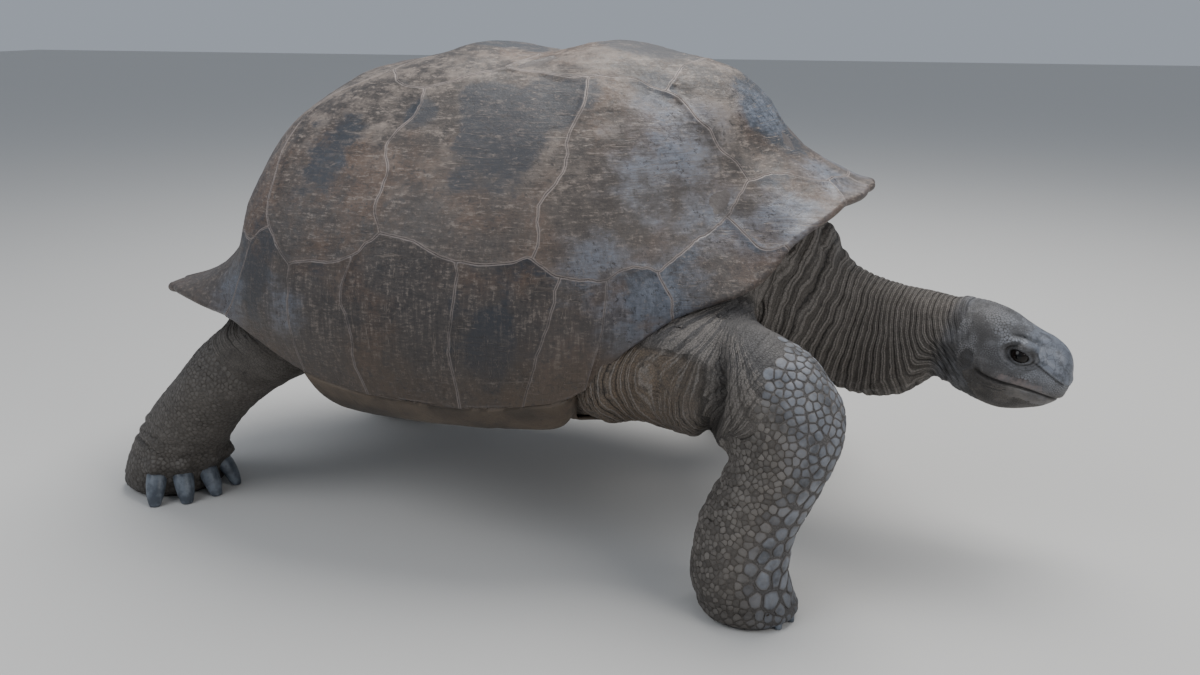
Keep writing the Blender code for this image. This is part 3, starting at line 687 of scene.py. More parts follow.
LEFT_HIND_LEG = (
    (0, -0.298, 0.234, 0, 0.064, 0.066, 0, 0),
    (0.04, -0.297, 0.234, 0.010, 0.074, 0.075, 0, 0),
    (0.2, -0.291, 0.234, 0.055, 0.076, 0.075, 0, 0),
    (0.4, -0.285, 0.233, 0.105, 0.071, 0.070, -3, 0),
    (0.6, -0.283, 0.229, 0.155, 0.069, 0.068, -6, 0),
    (0.8, -0.286, 0.218, 0.208, 0.074, 0.072, -8, 0),
    (1, -0.288, 0.196, 0.262, 0.080, 0.080, -10, 0),
)
NAPE = np.array([0.6680, -0.0450, 0.2995])
HEAD_DOWN, HEAD_RIGHT = 14, 12
NECK = (
    (0, 0.360, 0.000, 0.350, 0.150, 0.150, 78, 0),
    (0.13, 0.423, 0.000, 0.335, 0.142, 0.158, 74, 0),
    (0.24, 0.457, 0.000, 0.318, 0.120, 0.136, 72, 0),
    (0.34, 0.488, -0.002, 0.304, 0.096, 0.106, 70, -1),
    (0.46, 0.530, -0.006, 0.290, 0.087, 0.082, 74, -2),
    (0.65, 0.585, -0.017, 0.279, 0.087, 0.068, 82, -7),
    (0.82, 0.632, -0.032, 0.288, 0.075, 0.060, 82, -11),
    (1, *NAPE, 0.0590, 0.0540, 90 - HEAD_DOWN, -HEAD_RIGHT),
)
TAIL = (
    (0, -0.420, 0.030, 0.244, 0.036, 0.042, -70, 0),
    (0.35, -0.470, 0.036, 0.236, 0.031, 0.036, -60, -10),
    (0.7, -0.502, 0.060, 0.226, 0.021, 0.024, -60, -40),
    (1, -0.507, 0.096, 0.221, 0.009, 0.010, -60, -70),
)
# The head in its own frame, from the nape forwards: (way along, top, bottom, half width).
HEAD = (
    (0.000, 0.0625, -0.0590, 0.0540), (0.022, 0.0650, -0.0605, 0.0565), (0.045, 0.0660, -0.0640, 0.0580),
    (0.068, 0.0635, -0.0672, 0.0545), (0.088, 0.0580, -0.0675, 0.0490), (0.106, 0.0540, -0.0630, 0.0430),
    (0.124, 0.0515, -0.0550, 0.0360), (0.140, 0.0460, -0.0455, 0.0305), (0.152, 0.0370, -0.0350, 0.0245),
    (0.160, 0.0230, -0.0235, 0.0170), (0.164, 0.0080, -0.0130, 0.0075),
)
# The slack bag of hide behind each fore leg, as a limb that runs back from the shoulder along the opening.
POUCH_BAG = (
    (0, 0.400, 0.215, 0.295, 0.020, 0.020, 90, 0), (0.06, 0.392, 0.218, 0.290, 0.054, 0.052, 90, 0),
    (0.3, 0.350, 0.232, 0.276, 0.071, 0.067, 90, 0), (0.6, 0.290, 0.243, 0.271, 0.069, 0.069, 90, 0),
    (0.85, 0.240, 0.254, 0.268, 0.061, 0.058, 90, 0), (0.96, 0.214, 0.260, 0.269, 0.042, 0.038, 90, 0),
    (1, 0.205, 0.262, 0.270, 0.012, 0.012, 90, 0),
)
MID_LINE, HEAD_BOXY = -0.004, 0.86
BELLY, BELLY_WALL, SLACK, FLESH_GAP = 0.168, 0.016, 0.007, 0.001
LOBE = (
    (0, 0.405), (18, 0.400), (34, 0.372), (48, 0.330), (60, 0.32), (90, 0.32),
    (106, 0.29), (122, 0.262), (138, 0.285), (158, 0.36), (180, 0.355),
)
LOBE_NARROWED, LOBE_RAISED = 0.78, 0.012
FRONT_HELD_BACK, POUCH = 0.15, 3.0
COAT_DEPTH = 0.0015


def axes_of(rows, steps):
    """Along a limb: its middle line, half sizes, and the two axes of each ring and the way along it."""
    x, y, z, fore, across, lean, turned = through(rows, steps).T
    lean, turned = np.radians(lean), np.radians(turned)
    ahead = np.stack([np.cos(lean) * np.cos(turned), np.cos(lean) * np.sin(turned), np.sin(lean)], -1)
    side = np.stack([-np.sin(turned), np.cos(turned), 0 * turned], -1)
    return np.stack([x, y, z], -1) + SHELL_MIDDLE, fore, across, ahead, side


def limb_rings(rows, count, sides, angle=None):
    """Rings along a limb: its middle line, plus half sizes times cosine and sine along a ring's axes."""
    middle, fore, across, ahead, side = axes_of(rows, np.linspace(0, 1, count))
    angle = (np.linspace(0, 2 * np.pi, sides, endpoint=False) if angle is None else angle)[None, :, None]
    fore, across = (fore - COAT_DEPTH)[:, None, None], (across - COAT_DEPTH)[:, None, None]
    return middle[:, None] + fore * np.cos(angle) * ahead[:, None] + across * np.sin(angle) * side[:, None]


down, right = np.radians(HEAD_DOWN), np.radians(HEAD_RIGHT)
HEAD_AXES = np.array([
    [np.cos(down) * np.cos(right), -np.cos(down) * np.sin(right), -np.sin(down)],
    [np.sin(right), np.cos(right), 0],
    [np.sin(down) * np.cos(right), -np.sin(down) * np.sin(right), np.cos(down)],
])
HEAD_PLACE = NAPE + SHELL_MIDDLE


def neck_and_head(neck_rings, head_rings, sides):
    """One run of rings from the neck's root to the snout, with more points at its sides. A head ring is a
    rounded box: cosine and sine raised to a power, between the head's own top, bottom and side lines."""
    even = np.linspace(0, 2 * np.pi, sides, endpoint=False)
    angle = even + 0.25 * np.sin(2 * even)
    neck = limb_rings(NECK, neck_rings + 1, sides, angle)[:-1]
    at = 1 - (1 - np.linspace(0, 1, head_rings)) ** 1.35
    way, top, bottom, half = (through([(i / 10, *row) for i, row in enumerate(HEAD)], at).T)[:, :, None]
    top, bottom, half = top - COAT_DEPTH, bottom + COAT_DEPTH, half - COAT_DEPTH
    rounder = 1 - (1 - HEAD_BOXY) * smoothstep(way, 0, 0.03)
    up_share, side_share = np.cos(angle), np.sin(angle)
    up_share = np.sign(up_share) * np.abs(up_share) ** rounder
    side_share = np.sign(side_share) * np.abs(side_share) ** rounder
    up = MID_LINE + up_share * np.where(up_share > 0, top - MID_LINE, MID_LINE - bottom)
    local = np.stack([way + 0 * up, half * side_share, up], -1)
    return np.concatenate([neck, HEAD_PLACE + local @ HEAD_AXES])


def belly_edge(turn):
    """The belly plate's edge: on the shell's rim along the bridge, and a free lobe before and behind it."""
    degrees = np.degrees(np.arccos(np.clip(np.cos(turn), -1, 1)))
    bridge = smoothstep(degrees, 54, 70) * fade(degrees, 103, 117)
    reach = through(LOBE, degrees)[..., 0]
    ahead, across = reach * np.cos(turn), LOBE_NARROWED * reach * np.sin(turn)
    free = np.stack([ahead, across, BELLY + LOBE_RAISED + 0 * turn], -1) + SHELL_MIDDLE
    return free + (shell(turn, 1) - free) * bridge[..., None], bridge


def belly(turn, out, lift):
    """The belly plate's lower face, flat in the middle and turned up at its edge. Lift raises it."""
    edge, _ = belly_edge(turn)
    rise = np.maximum(edge[..., 2] - BELLY - lift, 0) * out**8
    point = SHELL_MIDDLE + (edge - SHELL_MIDDLE) * np.stack([out, out, 0 * out], -1)
    point[..., 2] = BELLY + lift + rise
    return point


def trunk_rings(sides):
    """The flesh in the shell: out under its roof, down the walls of the openings and in over the belly
    plate. It is held back under the front rim and hangs in a slack pouch behind each fore leg."""
    turn = np.linspace(0, 2 * np.pi, sides, endpoint=False)
    degrees = np.degrees(np.arccos(np.clip(np.cos(turn), -1, 1)))
    held_back = 1 - FRONT_HELD_BACK * fade(degrees, 14, 34)
    round_q = np.stack([np.cos(turn), np.sin(turn)], -1) * held_back[:, None]
    roof = [on_shell(round_q * down, -SHELL_WALL - SLACK)[0] for down in (0.2, 0.45, 0.7, 0.85, 0.91, 0.94)]
    floor_edge = belly(turn, np.full(sides, 0.95), BELLY_WALL + FLESH_GAP)
    opening = 1 - belly_edge(turn)[1]
    upright = 1 + POUCH * smoothstep(degrees, 34, 50) * fade(degrees, 54, 66)
    wall = []
    for share in np.linspace(0, 1, 46)[1:]:
        swell = (1 + (0.04 * opening - 0.02) * np.sin(np.pi * share))[:, None]
        inwards = share**upright
        ring = roof[-1] + (floor_edge - roof[-1]) * np.stack([inwards, inwards, share + 0 * turn], -1)
        wall.append(SHELL_MIDDLE + (ring - SHELL_MIDDLE) * np.hstack([swell, swell, 1 + 0 * swell]))
    under = [belly(turn, np.full(sides, out), BELLY_WALL + FLESH_GAP) for out in (0.8, 0.55, 0.25)]
    return np.array(roof + wall + under)


def read_triangles(mesh):
    mesh.calc_loop_triangles()
    return numbers(mesh.loop_triangles, "vertices", 3, np.int32)


def ring_body(name, rings):
    """A closed body over rings. If its volume, a sum of corner products, is negative, its faces are turned
    outwards."""
    points = np.vstack([rings.reshape(-1, 3), rings[0].mean(0), rings[-1].mean(0)])
    body = mesh_object(name, points, ring_faces(*rings.shape[:2], True))
    a, b, c = points[read_triangles(body.data)].transpose(1, 0, 2)
    if (a * np.cross(b, c)).sum() < 0:
        body.data.flip_normals()
    return body


skin = ring_body("skin", trunk_rings(200))
LIMBS = {"neck": NECK, "fore_right": RIGHT_FORE_LEG, "fore_left": LEFT_FORE_LEG, "hind_right": RIGHT_HIND_LEG,
         "hind_left": LEFT_HIND_LEG, "tail": TAIL}
grown_from = [ring_body("neck_cast", neck_and_head(140, 165, 176))]
for name in ("fore_right", "fore_left", "hind_right", "hind_left"):
    grown_from.append(ring_body(name + "_cast", limb_rings(LIMBS[name], 80, 84)))
grown_from.append(ring_body("tail_cast", limb_rings(TAIL, 50, 40)))
for side in (1, -1):
    rows = [(row[0], row[1], side * row[2], *row[3:]) for row in POUCH_BAG]
    grown_from.append(ring_body("pouch_cast", limb_rings(rows, 50, 72)))
for cast in grown_from:
    union = skin.modifiers.new(cast.name, "BOOLEAN")
    union.operation, union.object, union.solver = "UNION", cast, "MANIFOLD"


def settled(thing):
    """Applies an object's modifiers and gives it the resulting mesh."""
    made = bpy.data.meshes.new_from_object(thing.evaluated_get(bpy.context.evaluated_depsgraph_get()))
    made.materials.clear()
    thing.modifiers.clear()
    old, thing.data = thing.data, made
    bpy.data.meshes.remove(old)


settled(skin)
for cast in grown_from:
    bpy.data.objects.remove(cast)


def read_normals(mesh):
    return numbers(mesh.vertex_normals, "vector").astype(float)


def write_points(mesh, points):
    mesh.vertices.foreach_set("co", np.ascontiguousarray(points, np.float32).ravel())
    mesh.update()


def relaxed(points, edges, share, rounds):
    """Each point moved towards the mean of its neighbours, by its own share, again and again."""
    a, b = edges.T
    count = np.bincount(edges.ravel(), minlength=len(points))[:, None]
    for _ in range(rounds):
        total = [
            np.bincount(a, points[b, k], len(points)) + np.bincount(b, points[a, k], len(points))
            for k in (0, 1, 2)
        ]
        points = points + share[:, None] * (np.stack(total, -1) / count - points)
    return points


def along_limb(rows, points):
    """Where points lie on a limb, from the nearest of many rings: metres along its middle line, angle round
    it from the front, and metres outside it. Points far from it are a metre outside."""
    middle, fore, across, ahead, side = axes_of(rows, np.linspace(0, 1, 120))
    way = np.concatenate([[0], np.cumsum(np.linalg.norm(np.diff(middle, axis=0), axis=1))])
    axes = np.cross(ahead, side)
    axes *= np.sign((axes * np.gradient(middle, axis=0)).sum(-1, keepdims=True))
    found = np.full((3, len(points)), [[0.0], [0.0], [1.0]])
    near = np.flatnonzero(((points > middle.min(0) - 0.2) & (points < middle.max(0) + 0.2)).all(1))
    for part in np.array_split(near, len(near) // 20000 + 1):
        gap = points[part, None] - middle[None]
        ring = (gap**2).sum(-1).argmin(1)
        gap = gap[np.arange(len(part)), ring]
        x, y, forwards = (gap * ahead[ring]).sum(-1), (gap * side[ring]).sum(-1), (gap * axes[ring]).sum(-1)
        ratio = np.hypot(x / fore[ring], y / across[ring])
        size = np.hypot(x, y) / np.maximum(ratio, 0.05)
        at_end = (ring == 0) | (ring == 119)
        found[0, part] = way[ring] + np.clip(forwards, -0.04, 0.04)
        found[1, part] = np.arctan2(y, x)
        found[2, part] = (ratio - 1) * size + np.where(at_end, np.maximum(np.abs(forwards) - 0.01, 0), 0)
    return found, way[-1]


def head_place(points):
    """Points in the head's own frame: along it to the snout, across it to the left, and up."""
    return (points - HEAD_PLACE) @ HEAD_AXES.T


# Where a limb meets the body the crease is evened out to a soft hollow.
CREASE_REACH = 0.045
points = read_points(skin.data)
edges = numbers(skin.data.edges, "vertices", 2, np.int32)
on_limbs = {name: along_limb(rows, points) for name, rows in LIMBS.items()}
head = head_place(points)
outside = np.stack([place[2] for place, _ in on_limbs.values()])
owner = np.where((np.abs(outside) < 0.003).any(0), np.abs(outside).argmin(0), -1)
owner = np.where((head[:, 0] > -0.005) & (np.abs(head[:, 1:]).max(1) < 0.09), 0, owner)
seam_edges = edges[owner[edges[:, 0]] != owner[edges[:, 1]]]
crease = np.unique(seam_edges)
crease = crease[points[crease, 2] > 0.09]
tree = KDTree(len(crease))
for number, vertex in enumerate(crease):
    tree.insert(points[vertex], number)
tree.balance()
to_crease = np.array([tree.find(p)[2] for p in points])
points = relaxed(points, edges, 0.6 * fade(to_crease, 0.008, CREASE_REACH), 70)
write_points(skin.data, points)

# How much each limb owns a point: its nearness to the limb's rings, shared out with the body. In mid-stride
# the left shoulder is further back than the right one.
LEFT_BACK = 0.09
on_limbs = {name: along_limb(rows, points) for name, rows in LIMBS.items()}
head = head_place(points)
in_head = smoothstep(head[:, 0], -0.012, 0.012) * (np.abs(head[:, 1:]).max(1) < 0.09)
nearness = {name: bell(place[2], 0.016) for name, (place, _) in on_limbs.items()}
at_nape = smoothstep(head[:, 0], -0.05, -0.02) * (np.abs(head[:, 1:]).max(1) < 0.075)
nearness["neck"] = np.maximum(np.maximum(nearness["neck"], at_nape), in_head)
x_here, z_here = points[:, 0] - SHELL_MIDDLE[0] + LEFT_BACK * (points[:, 1] > 0), points[:, 2]
in_bag = smoothstep(np.abs(points[:, 1]), 0.165, 0.195) * fade(z_here, 0.315, 0.350)
in_bag = in_bag * smoothstep(x_here, 0.14, 0.17) * fade(x_here, 0.385, 0.415) * (z_here > 0.155)
nearness["fore_right"] = nearness["fore_right"] * (1 - in_bag)
nearness["fore_left"] = nearness["fore_left"] * (1 - in_bag)
total = sum(nearness.values()) + 0.06
share = {name: near / total for name, near in nearness.items()}
body_share = 0.06 / total
normal = read_normals(skin.data)


def ridges(turns, sharp=0.6):
    """Rounded ridges with narrow grooves between: the size of a sine, raised to a power, from -1 to 0.5."""
    return 1.5 * np.abs(np.sin(np.pi * turns)) ** sharp - 1


# Across the neck: pleats that get finer from the shell to the nape, and slack folds where it leaves the
# body. The pleats go on over the flesh beside the neck's root.
(neck_way, neck_angle, neck_out), NECK_LENGTH = on_limbs["neck"]
to_head = smoothstep(head[:, 0], -0.03, 0.0) * (np.abs(head[:, 1:]).max(1) < 0.09)
behind_jaw = head[:, 0] + 0.85 * np.minimum(head[:, 2] - 0.006, 0)
neck_way = neck_way + (NECK_LENGTH + behind_jaw - neck_way) * to_head
PLEATS = ((0, 0), (0.08, 4.6), (0.16, 10.6), (0.24, 18.0), (0.32, 26.5), (0.42, 39.0), (0.60, 62.0))
leaned_way = neck_way + 0.034 * np.cos(neck_angle) * smoothstep(neck_way, 0.22, 0.33)
pleat = through(PLEATS, leaned_way)[:, 0] + 0.34 * ripple(points, 0.13, 21) + 0.14 * ripple(points, 0.045, 22)
nape_end = fade(behind_jaw + 0.15 * np.abs(head[:, 1]), 0.004, 0.030)
beside_neck = bell(np.maximum(neck_out, 0), 0.05) * (points[:, 0] > SHELL_MIDDLE[0] + 0.33)
pleated = (share["neck"] + body_share * beside_neck) * nape_end
pleat_height = through(((0, 0.0022), (0.15, 0.0019), (0.28, 0.0012), (0.36, 0.0008)), neck_way)[:, 0]
neck_fold = pleat_height * ridges(pleat)
slack = ridges(neck_way / 0.034 + 0.35 * ripple(points, 0.12, 23), 0.8)
neck_fold = neck_fold + 0.0045 * slack * fade(neck_way, 0.09, 0.17)
throat = smoothstep(-np.cos(neck_angle), 0.1, 0.8) * smoothstep(neck_way, 0.10, 0.18) * nape_end
neck_fold = neck_fold + throat * 0.0035 * (0.35 - np.abs(ripple(points * [1, 1, 0.6], 0.030, 24)))
neck_fold = neck_fold + 0.0028 * bell(head[:, 0] - 0.004, 0.007) * smoothstep(head[:, 2], 0.02, 0.05)
long_folds = ridges(behind_jaw / 0.0105 + 0.3 * ripple(points, 0.05, 37), 0.8)
long_folds = long_folds * smoothstep(behind_jaw, -0.045, -0.020)
neck_fold = neck_fold + 0.0024 * long_folds * nape_end * to_head * smoothstep(-head[:, 2], -0.030, 0.005)

# Body wall at the openings: upright slack folds, and at each shoulder a fan of deep ones from under the rim.
wall_turn = np.arctan2(points[:, 1], points[:, 0] - SHELL_MIDDLE[0])
curtain = wall_turn / 0.052 + 0.5 * ripple(points, 0.10, 25)
body_fold = 0.0022 * ridges(curtain, 0.8)
bag = (x_here - 7.5 * (z_here - 0.272) ** 2) / 0.0125 + 0.75 * ripple(points * [1, 1, 0.5], 0.075, 35)
bag_height = 0.0034 * (0.75 + 0.35 * ripple(points, 0.06, 36))
body_fold = body_fold * (1 - in_bag) + in_bag * bag_height * ridges(bag, 0.8)
FAN_AT = (0.412, 0.300, 0.372)
FAN_COUNT = 4.6
FOLD_AT, FOLD_DEPTH = 0.410, 0.019
fan, fanned, deep = np.zeros((3, len(points)))
for sign, ahead_by in ((-1, 0.0), (1, -LEFT_BACK)):
    from_fan = points - (SHELL_MIDDLE + [FAN_AT[0] + ahead_by, sign * FAN_AT[1], FAN_AT[2]])
    reach = np.hypot(from_fan[:, 0], from_fan[:, 2])
    bearing = np.arctan2(from_fan[:, 0], -from_fan[:, 2])
    near = smoothstep(reach, 0.004, 0.03) * fade(reach, 0.075, 0.150) * (from_fan[:, 1] * sign > -0.12)
    near = near * smoothstep(bearing, -1.9, -1.3) * fade(bearing, 0.5, 1.1)
    curved = bearing - 1.6 * reach * (bearing < 0)
    fan = np.where(near > 0, FAN_COUNT * curved + 0.30 * ripple(points, 0.07, 27), fan)
    fanned = np.maximum(fanned, near)
    along_fold = smoothstep(points[:, 2], 0.175, 0.215) * fade(points[:, 2], 0.31, 0.36)
    fold_here = (from_fan[:, 0] + FAN_AT[0] - FOLD_AT + 0.25 * (points[:, 2] - 0.30) ** 2 / 0.1) / 0.0105
    deep = deep + np.exp(-(fold_here**2)) * along_fold * (from_fan[:, 1] * sign > -0.10)
on_fore = share["fore_right"] + share["fore_left"]
body_fold = body_fold * (1 - fanned) + fanned * 0.0045 * ridges(fan, 0.8)
fanned = fanned * (body_share + 0.75 * on_fore)
bagged = in_bag * body_share * (1 - np.minimum(fanned, 1))

# Legs: rings of wrinkles round the knee's back and the ankle, toes over the claws and a pad along the sole.
leg_fold, wrinkle, wrinkled, creased = np.zeros((4, len(points)))
for name, share_here in share.items():
    if name == "neck":
        continue
    (way, angle, _), length = on_limbs[name]
    fore = name.startswith("fore")
    behind = smoothstep(-np.cos(angle), -0.3, 0.7)
    apart = 0.0115 if name == "tail" else 0.0135
    rings = way / apart + 0.45 * ripple(points, 0.09, 28) + 0.16 * np.sin(angle)
    amount = behind + (0.6 * smoothstep(way, 0.20, 0.30) if fore else 0.35) * (1 - behind)
    amount = amount * (smoothstep(way, 0.05, 0.09) if name != "tail" else 0.7)
    wrinkle = np.where(share_here > 0.4, rings, wrinkle)
    wrinkled = wrinkled + share_here * amount
    if name == "tail":
        continue
    bend_at, bend_reach = (0.175, 0.045) if fore else (0.105, 0.022)
    bend = bell(way - bend_at, bend_reach) * (behind if fore else 0.4 + 0.6 * behind)
    bend_folds = ridges(way / 0.024 + 0.3 * ripple(points, 0.08, 29), 0.8)
    fold_here = (0.0032 if fore else 0.0058) * bend_folds * bend
    creased = creased + share_here * bend * (1 - fore) * smoothstep(-bend_folds, 0.1, 0.8)
    pad = 0.0020 * smoothstep(points[:, 2], 0.004, 0.010) * fade(points[:, 2], 0.014, 0.024)
    pad = pad - 0.0016 * bell(points[:, 2] - 0.024, 0.004)
    leg_fold = leg_fold + share_here * (fold_here + pad + 0.0009 * amount * ridges(rings))
fold = share["neck"] * (1 - in_head * smoothstep(head[:, 0], 0.02, 0.05)) * neck_fold
fold = fold + body_share * body_fold + leg_fold
fold = fold + on_fore * np.minimum(fanned, 1) * 0.0030 * ridges(fan, 0.8)
fold = fold - FOLD_DEPTH * deep * (on_fore + body_share)

# A lobe of hide hangs over the root of each hind claw: a bulge outwards from the foot at the claw's bearing.
HIND_CLAWS = (4, -31, 27, 0.070, 0.053, 66, 1.0)
LOBE_OUT, LOBE_WIDE, LOBE_HIGH, LOBE_AT = 0.014, 0.0150, 0.0125, 0.058
toes = np.zeros((len(points), 3))
for rows, sign in ((RIGHT_HIND_LEG, 1), (LEFT_HIND_LEG, -1)):
    for number in range(HIND_CLAWS[0]):
        bearing = np.radians(sign * (HIND_CLAWS[1] + HIND_CLAWS[2] * (number - 1.5)))
        outwards = np.array([np.cos(bearing), np.sin(bearing), 0])
        from_foot = points - SHELL_MIDDLE - [*rows[0][1:3], 0]
        sideways = from_foot[:, 1] * outwards[0] - from_foot[:, 0] * outwards[1]
        near = np.exp(-((sideways / LOBE_WIDE) ** 2) - ((points[:, 2] - LOBE_AT) / LOBE_HIGH) ** 2)
        near = near * smoothstep(from_foot @ outwards, 0.03, 0.05) * (np.hypot(*from_foot[:, :2].T) < 0.13)
        toes = toes + LOBE_OUT * near[:, None] * outwards
rough = 0.0005 * ripple(points, 0.02, 30) * (points[:, 2] > 0.003)
points = points + normal * (fold + rough * (1 - 0.7 * in_head))[:, None] + toes
points[:, 2] = np.maximum(points[:, 2], 0)
write_points(skin.data, points)

# The head's own forms, worked out in its frame. Here u is the distance from its middle plane, on both sides.
EYE_AT = (0.0965, 0.0345, 0.0225)
EYE_RADIUS = 0.0135
OPENING = (0.0128, 0.0076)
OPENING_TILT = np.radians(-8)
MOUTH = (
    (0.052, -0.0115), (0.062, -0.0155), (0.085, -0.0187), (0.113, -0.0190), (0.135, -0.0208),
    (0.200, -0.0335),
)
EAR_AT, EAR_SIZE = (0.036, -0.003), (0.0085, 0.0135)
NOSTRIL_AT = (0.1585, 0.0095, -0.0015)

s, u, h = head_place(points).T
side = np.sign(u)
u = np.abs(u)
local_normal = read_normals(skin.data) @ HEAD_AXES.T
zone = in_head > 0.5
along_eye, above_eye = s - EYE_AT[0], h - EYE_AT[2]
ex = along_eye * np.cos(OPENING_TILT) + above_eye * np.sin(OPENING_TILT)
ey = above_eye * np.cos(OPENING_TILT) - along_eye * np.sin(OPENING_TILT)
lid = np.hypot(ex / OPENING[0], ey / OPENING[1])
from_eye = np.hypot(ex, ey)
on_side = zone & (u > 0.012)

# Lids: a ring that lies on the ball, finer folds round it, and a gap in the middle that sinks behind it.
ball = EYE_AT[1] + np.sqrt(np.maximum((EYE_RADIUS + 0.0005) ** 2 - from_eye**2, 0.0048**2))
margin = ball + 0.0019 * bell(lid - 1.17, 0.16)
ring_folds = 0.0009 * np.cos(2 * np.pi * (lid - 1.17) / 0.42)
ring_folds = ring_folds * smoothstep(lid, 1.1, 1.4) * fade(lid, 1.9, 2.6)
blend = fade(lid, 1.15, 1.95)
lid_u = margin * blend + u * (1 - blend) + ring_folds
lid_u = np.where(lid < 1.0, ball - 0.0045 * smoothstep(1.02 - lid, 0, 0.16), lid_u)
cover = ball + 0.0006 - 1.1 * np.maximum(from_eye - 0.0130, 0)
lid_u = np.where(lid >= 1.0, np.maximum(lid_u, cover), lid_u)
u = np.where(on_side & (lid < 2.9), np.maximum(lid_u, np.where(lid > 2.6, u, -1)), u)

# Relief along the normal: mouth and jaw folds, brow, cheek, the snout's horn edge, ear drum and nostrils.
mouth_h = through(MOUTH, s)[:, 0]
from_mouth = h - mouth_h
in_mouth = smoothstep(s, 0.050, 0.060) * zone
relief_here = -0.0042 * bell(from_mouth, 0.0019) * in_mouth
relief_here += 0.0014 * smoothstep(from_mouth, 0.0010, 0.0030) * fade(from_mouth, 0.005, 0.014) * in_mouth
relief_here -= 0.0009 * bell(from_mouth + 0.0085 - 0.03 * (s - 0.1), 0.0011) * in_mouth * (s < 0.135)
relief_here += 0.0008 * bell(from_mouth + 0.0045, 0.0022) * in_mouth * fade(s, 0.120, 0.142)
relief_here -= 0.0011 * bell(from_mouth + 0.0125 - 0.05 * (s - 0.1), 0.0012) * in_mouth * (s < 0.145)
corner = np.hypot(s - 0.053, h + 0.0135)
relief_here -= 0.0012 * bell(corner, 0.004) * zone
brow = np.exp(-((ey - 0.0145 + 6 * ex**2) ** 2) / 0.0042**2) * fade(np.abs(ex + 0.002), 0.012, 0.024)
relief_here += 0.0034 * brow * on_side
over_brow = np.exp(-((ey - 0.0222 + 6 * ex**2) ** 2) / 0.0016**2) * fade(np.abs(ex + 0.002), 0.010, 0.020)
relief_here -= 0.0026 * over_brow * on_side
cheek = bell(ey + 0.0165, 0.0050) * fade(np.abs(ex), 0.012, 0.026)
relief_here += 0.0014 * cheek * on_side
snout_line = 0.0215 - 0.48 * (s - 0.112)
above_line = h - snout_line
on_snout = smoothstep(s, 0.110, 0.118) * zone
relief_here += 0.0016 * smoothstep(above_line, -0.0006, 0.0018) * fade(above_line, 0.006, 0.016) * on_snout
relief_here -= 0.0012 * bell(above_line + 0.001, 0.0012) * on_snout * (s < 0.158)
ear = np.hypot((s - EAR_AT[0]) / EAR_SIZE[0], (h - EAR_AT[1]) / EAR_SIZE[1])
relief_here -= (0.0012 * fade(ear, 0.75, 1.0) + 0.0009 * bell(ear - 1.0, 0.12)) * zone
relief_here += 0.0007 * bell(ear - 1.25, 0.13) * zone
to_nostril = np.sqrt((s - NOSTRIL_AT[0]) ** 2 + (u - NOSTRIL_AT[1]) ** 2 + (h - NOSTRIL_AT[2]) ** 2)
relief_here -= 0.0035 * fade(to_nostril, 0.0012, 0.0030) * zone
cheek_folds = ridges((s + 0.6 * h) / 0.0075 + 0.25 * ripple(points, 0.03, 31))
relief_here += 0.0006 * cheek_folds * fade(s, 0.05, 0.075) * smoothstep(-h, 0.018, 0.032) * zone
moved = np.stack([s, u * side, h], -1) + local_normal * relief_here[:, None]
points = np.where(zone[:, None], HEAD_PLACE + moved @ HEAD_AXES, points)
write_points(skin.data, points)
skin.data.shade_smooth()

# What the finish needs to know at each point: which pattern of folds lies there and how far it has run,
# which parts of the head are smooth or pink, where shade is painted, and where the hide is blue or tan.
plate = smoothstep(above_line, -0.0005, 0.003) * on_snout
plate = plate + smoothstep(s, 0.078, 0.112) * smoothstep(h, 0.026, 0.042)
plate = np.minimum(plate, 1) * zone * (lid > 1.9)
beak = in_mouth * smoothstep(s, 0.085, 0.105) * smoothstep(-from_mouth, -0.010, -0.004)
beak = beak * fade(-from_mouth, 0.014, 0.022)
pink = in_mouth * smoothstep(from_mouth, 0.001, 0.003) * fade(from_mouth, 0.011, 0.017)
pink = pink * smoothstep(s, 0.066, 0.090) * fade(s, 0.128, 0.150)
# Painted shade: in the mouth's line and corner, the ear, the nostrils, round and over the eye, along the
# snout's edge, in the deep shoulder folds, the hind knee creases and the grooves under the jaw.
shade = bell(from_mouth, 0.0025) * in_mouth + bell(corner, 0.005) * zone
shade = shade + fade(ear, 0.80, 1.05) * 0.28 * zone + fade(to_nostril, 0.002, 0.004) * zone
shade = shade + 0.75 * bell(lid - 1.42, 0.12) * on_side + fade(lid, 0.98, 1.04) * on_side
shade = shade + 0.55 * over_brow * on_side
shade = shade + 0.6 * bell(above_line + 0.001, 0.0014) * on_snout * (s < 0.158)
front_of_fore = sum(
    share[name] * smoothstep(np.cos(on_limbs[name][0][1]), 0.05, 0.75) for name in ("fore_right", "fore_left")
)
shade = shade + 0.9 * np.minimum(deep, 1) * (on_fore + body_share) + 0.85 * np.minimum(creased, 1)
jaw_grooves = 0.75 * smoothstep(-long_folds, 0.15, 0.75) * nape_end * to_head
shade = shade + jaw_grooves * smoothstep(-head[:, 2], -0.030, 0.005)
ahead = points[:, 0] - SHELL_MIDDLE[0]
tan = body_share * smoothstep(0.36 - ahead, -0.06, 0.04) * (ahead > 0)
keep_values(skin.data, {
    "pleat": pleat, "pleated": pleated, "bag": bag, "bagged": bagged,
    "curtain": curtain, "slack": np.maximum(body_share * (1 - np.minimum(fanned, 1)) - bagged, 0),
    "fan": fan, "fanned": fanned, "wrinkle": wrinkle, "wrinkled": wrinkled, "plate": plate, "pink": pink,
    "shade": np.minimum(shade, 1), "beak": beak, "tan": tan, "on_head": in_head,
    "blue": front_of_fore + in_head * smoothstep(h, -0.03, 0.02) * (0.22 + 0.58 * smoothstep(s, 0.04, 0.115)),
})

